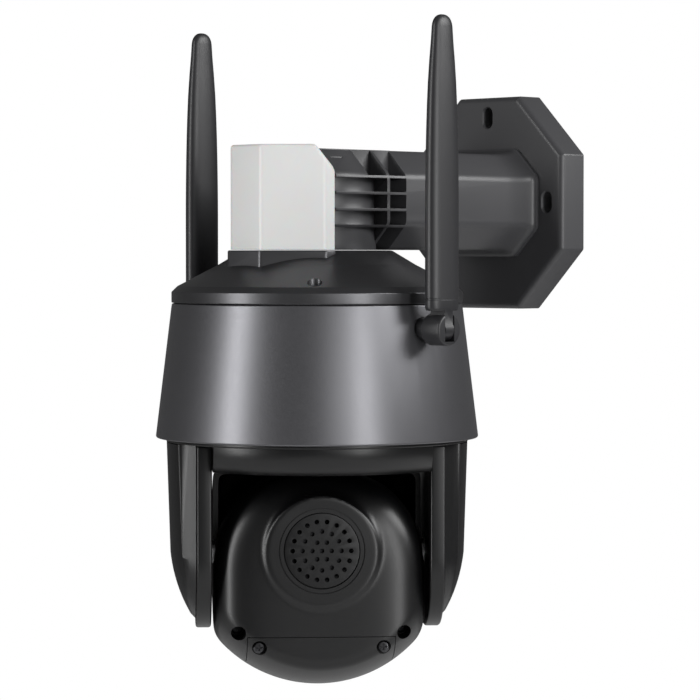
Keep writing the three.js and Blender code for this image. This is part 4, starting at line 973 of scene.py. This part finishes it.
TROUGH_HALF = 32.2 * MM
trough = push("trough", circle((0, 0), BACK_REACH * MM, 128), "x", -ARM_INNER, ARM_INNER)
cut(disc, trough)
trough = push("boss_trough", circle((0, 0), BOSS_REACH * MM, 128), "x", -TROUGH_HALF, TROUGH_HALF)
cut(disc, trough)
pocket_in, pocket_out = SPINDLE_RADIUS + 6 * MM, YOKE_RADIUS - 12 * MM
pocket_floor = (BOSS_REACH + 2) * MM
pocket = revolve("pocket", [
    (pocket_in, pocket_floor), (pocket_out, pocket_floor),
    (pocket_out, disc_top + 1 * MM), (pocket_in, disc_top + 1 * MM)], 96, (0, 0))
cut(disc, pocket)
spindle_top = disc_high.z - TILT_CENTRE.z
spindle = push("spindle", circle((0, 0), SPINDLE_RADIUS), "z", disc_top - 1 * MM, spindle_top)
join(disc, spindle)
spindle_bore = push("spindle_bore", circle((0, 0), NECK_BORE), "z", ceiling - 1 * MM, spindle_top + 1 * MM)
cut(disc, spindle_bore)
keep(move(disc, YOKE_PLACE), black_abs, "yoke", "black_plastic", "yoke_disc")

# %% [markdown]
# Each arm is a flat paddle with a round end, and a bulged cover stands on it. The cover's face
# carries on the disc's round side and then draws in to the arm below the tilt axis. It is
# lofted: rings of the paddle's outline climb a slanted side and a quarter ellipse until they
# meet that face. Trimming a turned body to the paddle would leave the side upright and sharp.

# %% Yoke arms and covers
PADDLE_HALF = 35.5 * MM
COVER_HALF = 31 * MM
COVER_WALL = 2.2 * MM


def paddle(half, top, steps=40):
    turns = [math.pi * i / steps for i in range(steps + 1)]
    return [(half, top), (-half, top)] + [(-half * math.cos(t), -half * math.sin(t)) for t in turns]


def arm_plate(name, motor_side):
    plate = push(name, paddle(PADDLE_HALF, rim_foot - SEAM), "x", ARM_INNER, ARM_OUTER)
    soften(plate, 1.1 * MM, 4, 40)
    cut(plate, push("bush_hole", circle((0, 0), 8.3 * MM), "x", 0.01, FAR))
    if motor_side:
        motor_hole = push("motor_hole", circle((0, 22.4 * MM), 10.3 * MM), "x", ARM_OUTER - 6.3 * MM, FAR)
        cut(plate, motor_hole)
    return plate


# (distance from the pan axis, height over the tilt axis), in millimetres
COVER_CURVE = [(70.7, 45), (70.6, 34), (70.1, 20), (69.3, 5), (67.9, -6), (65.9, -14), (63.4, -21),
               (60.4, -27), (57.6, -32), (56.0, -36), (56.0, -60)]
COVER_SLANT = (4.6 * MM, 6.5 * MM)
COVER_EDGE = 5.5 * MM


def cover_radius(height):
    """Distance of the cover's outer face from the pan axis at a height over the tilt axis."""
    radii, heights = zip(*reversed(COVER_CURVE))
    near = height / MM + np.linspace(-4, 4, 9)
    return float(np.interp(near, heights, radii).mean()) * MM


def cover_block(name, inset):
    """Rings of the paddle's outline, each further in and further out from the arm."""
    top = rim_foot + 12 * MM
    slant_in, slant_out = COVER_SLANT
    deepest = YOKE_RADIUS - ARM_OUTER
    stations = [(0.0, 0.3 * MM), (slant_in * 0.5, slant_out * 0.5)]
    for step in range(10):
        turn = math.pi / 2 * step / 9
        stations.append((slant_in + COVER_EDGE * (1 - math.cos(turn)),
                         slant_out + (deepest - slant_out) * math.sin(turn)))
    room = COVER_HALF - inset - slant_in - COVER_EDGE
    stations += [(slant_in + COVER_EDGE + room * share, 1.0) for share in (0.15, 0.3, 0.45, 0.6, 0.75, 0.9)]
    rings = [[(ARM_OUTER + 0.3 * MM - inset, a, b) for a, b in paddle(COVER_HALF - inset, top, 72)]]
    for inward, rise in stations[1:]:
        ring = []
        for a, b in paddle(COVER_HALF - inset - inward, top, 72):
            shell = math.sqrt(cover_radius(b) ** 2 - a * a) - ARM_OUTER - inset
            ring.append((ARM_OUTER + max(min(shell, rise - inset), 0.3 * MM), a, b))
        rings.append(ring)
    block = loft(name, rings)
    above = box_piece("above", (0, -FAR, rim_foot - SEAM - inset), (FAR, FAR, FAR))
    return cut(block, above)


def arm_cover(name):
    cover = cover_block(name, 0)
    cut(cover, cover_block("inside", COVER_WALL))
    return cover


for side, turn in (("right", 0), ("left", math.pi)):
    place = YOKE_PLACE @ Matrix.Rotation(turn, 4, "Z")
    plate = move(arm_plate("arm_plate_" + side, side == "right"), place)
    keep(plate, black_abs, "yoke", "black_plastic", "yoke_arm_" + side)
    cover = move(arm_cover("arm_cover_" + side), place)
    keep(cover, black_abs, "yoke", "black_plastic", "yoke_cover_" + side)

# %% [markdown]
# The ball is a sphere cut by two flat sides. Its back is nearly round as seen from behind, but
# flat, with firm shoulders at the sides, and the speaker's boss swells out of it. Its front
# half has a flat top. Sculpting or subdividing could melt these together as well. Here the
# skin is where one formula is zero: each ray from the centre meets it once, so it is found
# along the rays of a cube's grid, and the sizes stay numbers.

# %% Ball skin
BALL_WALL = 2.4
SQUARENESS, SIDE_SQUARENESS, ROUNDNESS = 3.0, 5.4, 2.35
BALL_GRID = 84


def melt(a, b, width):
    """The larger of two values, with a soft change between them."""
    share = np.clip(0.5 + 0.5 * (a - b) / width, 0, 1)
    return b * (1 - share) + a * share + width * share * (1 - share)


def skin_value(points, inset, part):
    """Negative inside the skin, zero on it. The parts are "rear", "inside" and "front"."""
    x, y, z = points.T
    sphere = np.sqrt(x * x + y * y + z * z) - BALL_RADIUS + inset
    half, rear, dome = BALL_HALF - inset, BALL_REAR - inset, DOME_RADIUS - inset
    if part == "front":
        block = melt(np.abs(x) - half, z - DOME_RADIUS + DOME_DROP + inset, 4.0)
        return melt(sphere, block, 3.0)
    seen = ((np.abs(x) / half) ** ROUNDNESS
            + (np.maximum(z + DOME_DROP, 0) / dome) ** ROUNDNESS) ** (1 / ROUNDNESS)
    sideways = np.clip((x / half / np.maximum(seen, 1e-6)) ** 2, 0, 1)
    square = SQUARENESS + (SIDE_SQUARENESS - SQUARENESS) * sideways
    pillow = ((seen ** square + (np.abs(np.minimum(y, 0)) / rear) ** square) ** (1 / square) - 1) * rear
    body = melt(sphere, pillow, 3.0)
    if part == "inside":
        return body
    around = np.sqrt(x * x + (z - GRILLE_RISE) ** 2) - BOSS_RADIUS + 0.4
    swell = melt(around, GRILLE_FACE + 0.15 - y, 1.6)
    swell = np.maximum(swell, y + 20)
    return -melt(-body, -swell, 4.0)


def skin(name, inset, part):
    """The skin as a mesh, with each ray's length found by halving."""
    steps = np.tan(np.linspace(-math.pi / 4, math.pi / 4, BALL_GRID + 1))
    build = bmesh.new()
    u, v = np.meshgrid(steps, steps, indexing="ij")
    for axis in range(3):
        for sign in (-1, 1):
            rays = np.empty((u.size, 3))
            rays[:, axis] = sign
            rays[:, (axis + 1) % 3] = u.ravel()
            rays[:, (axis + 2) % 3] = v.ravel() * sign
            rays /= np.linalg.norm(rays, axis=1)[:, None]
            low, high = np.full(u.size, 5.0), np.full(u.size, 80.0)
            for _ in range(30):
                middle = (low + high) / 2
                outside = skin_value(rays * middle[:, None], inset, part) > 0
                high = np.where(outside, middle, high)
                low = np.where(outside, low, middle)
            verts = [build.verts.new(point) for point in rays * low[:, None] * MM]
            for i in range(BALL_GRID):
                for j in range(BALL_GRID):
                    a = i * (BALL_GRID + 1) + j
                    b = a + BALL_GRID + 1
                    build.faces.new((verts[a], verts[b], verts[b + 1], verts[a + 1]))
    bmesh.ops.remove_doubles(build, verts=build.verts, dist=1e-6)
    return from_bmesh(name, build)


def copy_piece(piece, name):
    return new_piece(name, piece.data.copy())


ball_skin = skin("ball_skin", 0.0, "rear")
ball_inside = skin("ball_inside", BALL_WALL, "inside")
front_skin = skin("front_skin", 0.0, "front")
front_inside = skin("front_inside", BALL_WALL, "front")
print("ball skin", len(ball_skin.data.polygons), "faces")

# %% [markdown]
# The ball is moulded in two halves with a cover for the card slot. Deep sleeves hold the
# screws, and a ledge inside the front half takes the round window. Each moulding is cut from
# a copy of the same skin, so their faces line up across the fine gaps between them.

# %% Ball shells and card cover
SHELL_SCREWS = [(side * 38 * MM, -34.6 * MM) for side in (-1, 1)]
CARD_SCREWS = [(side * 28.5 * MM, -41.2 * MM) for side in (-1, 1)]
SHELL_SEAT, CARD_SEAT = -11 * MM, -29.4 * MM
COVER_SIDE, COVER_TOP, COVER_REACH = 33.8 * MM, -36.4 * MM, -14 * MM
GRILLE_RADIUS = 17.3 * MM
GRILLE_THICK = 1.6 * MM
grille_face = GRILLE_FACE * MM
WINDOW_RADIUS, WINDOW_THICK = 27 * MM, 2 * MM
window_face = 53.5 * MM


def rod_y(name, place, radius, low, high, steps=40):
    return push(name, circle(place, radius, steps), "y", low, high)


def card_zone(name, margin):
    side = COVER_SIDE + margin
    return box_piece(name, (-side, -FAR, -FAR), (side, COVER_REACH + margin, COVER_TOP + margin))


def shaft_hole(piece):
    return cut(piece, push("shaft_hole", circle((0, 0), 5.8 * MM), "x", -FAR, FAR))


rear = copy_piece(ball_skin, "rear_shell")
trim(rear, box_piece("behind", (-FAR, -FAR, -FAR), (FAR, -SEAM / 2, FAR)))
hollow = copy_piece(ball_inside, "hollow")
for place in SHELL_SCREWS:
    cut(hollow, rod_y("sleeve", place, 4.6 * MM, -FAR, 0.002))
cut(rear, hollow)
cut(rear, card_zone("zone", SEAM))
for place in SHELL_SCREWS:
    cut(rear, rod_y("recess", place, 3.4 * MM, -FAR, SHELL_SEAT))
    cut(rear, rod_y("shank_way", place, 1.8 * MM, -FAR, 0.01))
GRILLE_SPOT = (0, GRILLE_RISE * MM)
seat = rod_y("seat", GRILLE_SPOT, GRILLE_RADIUS + 0.25 * MM, -FAR, grille_face + GRILLE_THICK + SEAM, 96)
cut(rear, seat)
cut(rear, rod_y("sound_hole", GRILLE_SPOT, GRILLE_RADIUS - 1.5 * MM, -FAR, -0.02, 96))
groove = rod_y("groove", GRILLE_SPOT, 19.75 * MM, -FAR, grille_face + 0.55 * MM, 96)
cut(groove, rod_y("groove_core", GRILLE_SPOT, 19.25 * MM, -0.2, 0, 96))
cut(rear, groove)
shaft_hole(rear)
keep(move(rear, YOKE_PLACE), black_abs, "ball", "black_plastic", "ball_rear_shell", angle=35)

cover = copy_piece(ball_skin, "card_cover_moulding")
trim(cover, card_zone("zone", 0))
hollow = copy_piece(ball_inside, "hollow")
for place in CARD_SCREWS:
    cut(hollow, rod_y("sleeve", place, 4.6 * MM, -FAR, CARD_SEAT))
cut(cover, hollow)
for place in CARD_SCREWS:
    cut(cover, rod_y("recess", place, 3.4 * MM, -FAR, CARD_SEAT - 1.6 * MM))
    cut(cover, rod_y("shank_way", place, 1.8 * MM, -FAR, 0))
keep(move(cover, YOKE_PLACE), black_abs, "ball", "black_plastic", "card_cover", angle=35)

front = copy_piece(front_skin, "front_shell")
trim(front, box_piece("ahead", (-FAR, SEAM / 2, -FAR), (FAR, window_face + 1.6 * MM, FAR)))
ledge = rod_y("ledge", (0, 0), WINDOW_RADIUS + 3 * MM, window_face - 5 * MM, FAR, 96)
cut(front_inside, ledge)
cut(front, front_inside)
opening = rod_y("opening", (0, 0), WINDOW_RADIUS + SEAM, window_face - WINDOW_THICK - SEAM, FAR, 96)
cut(front, opening)
cut(front, rod_y("sight", (0, 0), WINDOW_RADIUS - 2.5 * MM, 0.03, FAR, 96))
shaft_hole(front)
keep(move(front, YOKE_PLACE), black_abs, "ball", "black_plastic", "ball_front_shell", angle=35)
for used in (ball_skin, ball_inside, front_skin):
    bpy.data.objects.remove(used)

# %% [markdown]
# The speaker's grille is a moulded disc with round holes in rings of 1, 6, 12 and 18. A bump
# map could fake the holes, but they have real depth. Geometry Nodes place one cutter round
# each ring, and the cutters are then taken out of the disc.

# %% Speaker grille
HOLE_RADIUS = 1.1 * MM
profile = rounded([
    (0, grille_face + 0.2 * MM), (GRILLE_RADIUS, grille_face + 0.2 * MM),
    (GRILLE_RADIUS, grille_face + GRILLE_THICK), (0, grille_face + GRILLE_THICK)],
    [0, 0.35 * MM, 0, 0], 4, closed=False)
grille = revolve("grille_disc", profile, 96, (0, 0))
UP_TO_LENS = Matrix(((1, 0, 0, 0), (0, 0, 1, 0), (0, -1, 0, 0), (0, 0, 0, 1)))
cut(grille, push("hole", circle((0, 0), HOLE_RADIUS, 16), "z", -FAR, FAR))
for count, radius in ((6, 4.4), (12, 8.9), (18, 13.4)):
    cutters = push("cutters", circle((0, 0), HOLE_RADIUS, 16), "z", -FAR, FAR)
    run_tree(cutters, round_circle, Count=count, Radius=radius * MM, Material=black_abs)
    cut(grille, cutters)
grille_place = YOKE_PLACE @ Matrix.Translation((0, 0, GRILLE_RISE * MM)) @ UP_TO_LENS
keep(move(grille, grille_place), black_abs, "ball", "black_plastic", "speaker_grille")

# %% [markdown]
# The screws are M3 pan heads with a cross recess, turned and rolled from wire. One function
# makes them all, in two lengths, and Geometry Nodes place four round the cap. Their threads
# are hidden in the plastic, so the shanks stay smooth.

# %% Screws
SHANK_RADIUS = 1.5 * MM


def screw(name, length):
    """Stands on z = 0 with its head up."""
    profile = rounded([
        (0, HEAD_HEIGHT), (HEAD_RADIUS, HEAD_HEIGHT), (HEAD_RADIUS, 0), (SHANK_RADIUS, 0),
        (SHANK_RADIUS, -length), (0, -length)],
        [0, 1.1 * MM, 0.1 * MM, 0, 0.4 * MM, 0], 5, closed=False)
    piece = revolve(name, profile, 40, (0, 0))
    for turn in (0, math.pi / 2):
        bar = box_piece("bar", (-1.5 * MM, -0.38 * MM, 0.7 * MM), (1.5 * MM, 0.38 * MM, 0.01))
        move(bar, Matrix.Rotation(turn, 4, "Z"))
        cut(piece, bar)
    return piece


cap_screws = screw("cap_screws", 15 * MM)
cap_screws.data.materials.append(oxide_steel)
run_tree(cap_screws, round_circle, Count=4, Radius=CAP_SCREW_CIRCLE, Material=oxide_steel)
move(cap_screws, Matrix.Translation((0, 0, CAP_SEAT + SEAM)) @ CORNERS)
keep(cap_screws, oxide_steel, "housing", "black_steel", *["cap_screw_%d" % i for i in (1, 2, 3, 4)])

HEAD_BACK = Matrix.Rotation(math.pi / 2, 4, "X")
for side, shell_place, card_place in zip(("left", "right"), SHELL_SCREWS, CARD_SCREWS):
    piece = screw("shell_screw_" + side + "_turned", 20 * MM)
    place = YOKE_PLACE @ Matrix.Translation((shell_place[0], SHELL_SEAT - SEAM, shell_place[1]))
    keep(move(piece, place @ HEAD_BACK), oxide_steel, "ball", "black_steel", "shell_screw_" + side)
    piece = screw("card_screw_" + side + "_turned", 10 * MM)
    place = YOKE_PLACE @ Matrix.Translation((card_place[0], CARD_SEAT - 1.6 * MM - SEAM, card_place[1]))
    keep(move(piece, place @ HEAD_BACK), oxide_steel, "ball", "black_steel", "card_screw_" + side)

# %% [markdown]
# The window is a ground disc with a polished edge, and the lens behind it has a curved face.
# The rest of the inside keeps its CAD shape, because boards, cells, gears and motors are plain
# solids in real life too. Each gets the finish of its real material.

# %% Window, lens and the pieces inside
window = revolve("window_disc", rounded([
    (0, window_face - WINDOW_THICK), (WINDOW_RADIUS, window_face - WINDOW_THICK), (WINDOW_RADIUS, window_face),
    (0, window_face)], [0, 0.2 * MM, 0.5 * MM, 0], 4, closed=False), 96, (0, 0))
keep(move(window, YOKE_PLACE @ UP_TO_LENS), window_glass, "ball", "clear_glass", "front_window")

INSIDE = {
    zinc_steel: ["arm_screw_upper", "arm_screw_lower", "pan_motor", "pan_bearing", "antenna_nut_left",
                 "antenna_nut_right", "tilt_motor", "tilt_shaft", "tilt_pin", "antenna_hinge_pin_left",
                 "antenna_hinge_pin_right"],
    oxide_steel: ["lens_barrel", "speaker_driver"],
    board_resist: ["light_board", "main_board", "sensor_board", "led_board"],
    acetal: ["pan_gear", "pan_pinion", "tilt_gear", "tilt_pinion", "tilt_bush_left", "tilt_bush_right"],
    gasket_rubber: ["cable_grommet", "cap_seal", "reset_button"],
    cell_wrap: ["battery_cell_1", "battery_cell_2", "battery_cell_3"],
    cap_paint: ["base_plate"],
    black_abs: ["memory_card"],
    lens_glass: ["lens_glass"],
}
for material, names in INSIDE.items():
    for name in names:
        node = frame["nodes"][name]
        for slot_place in node.material_slots:
            slot_place.material = material
print("inside pieces", sum(len(names) for names in INSIDE.values()))
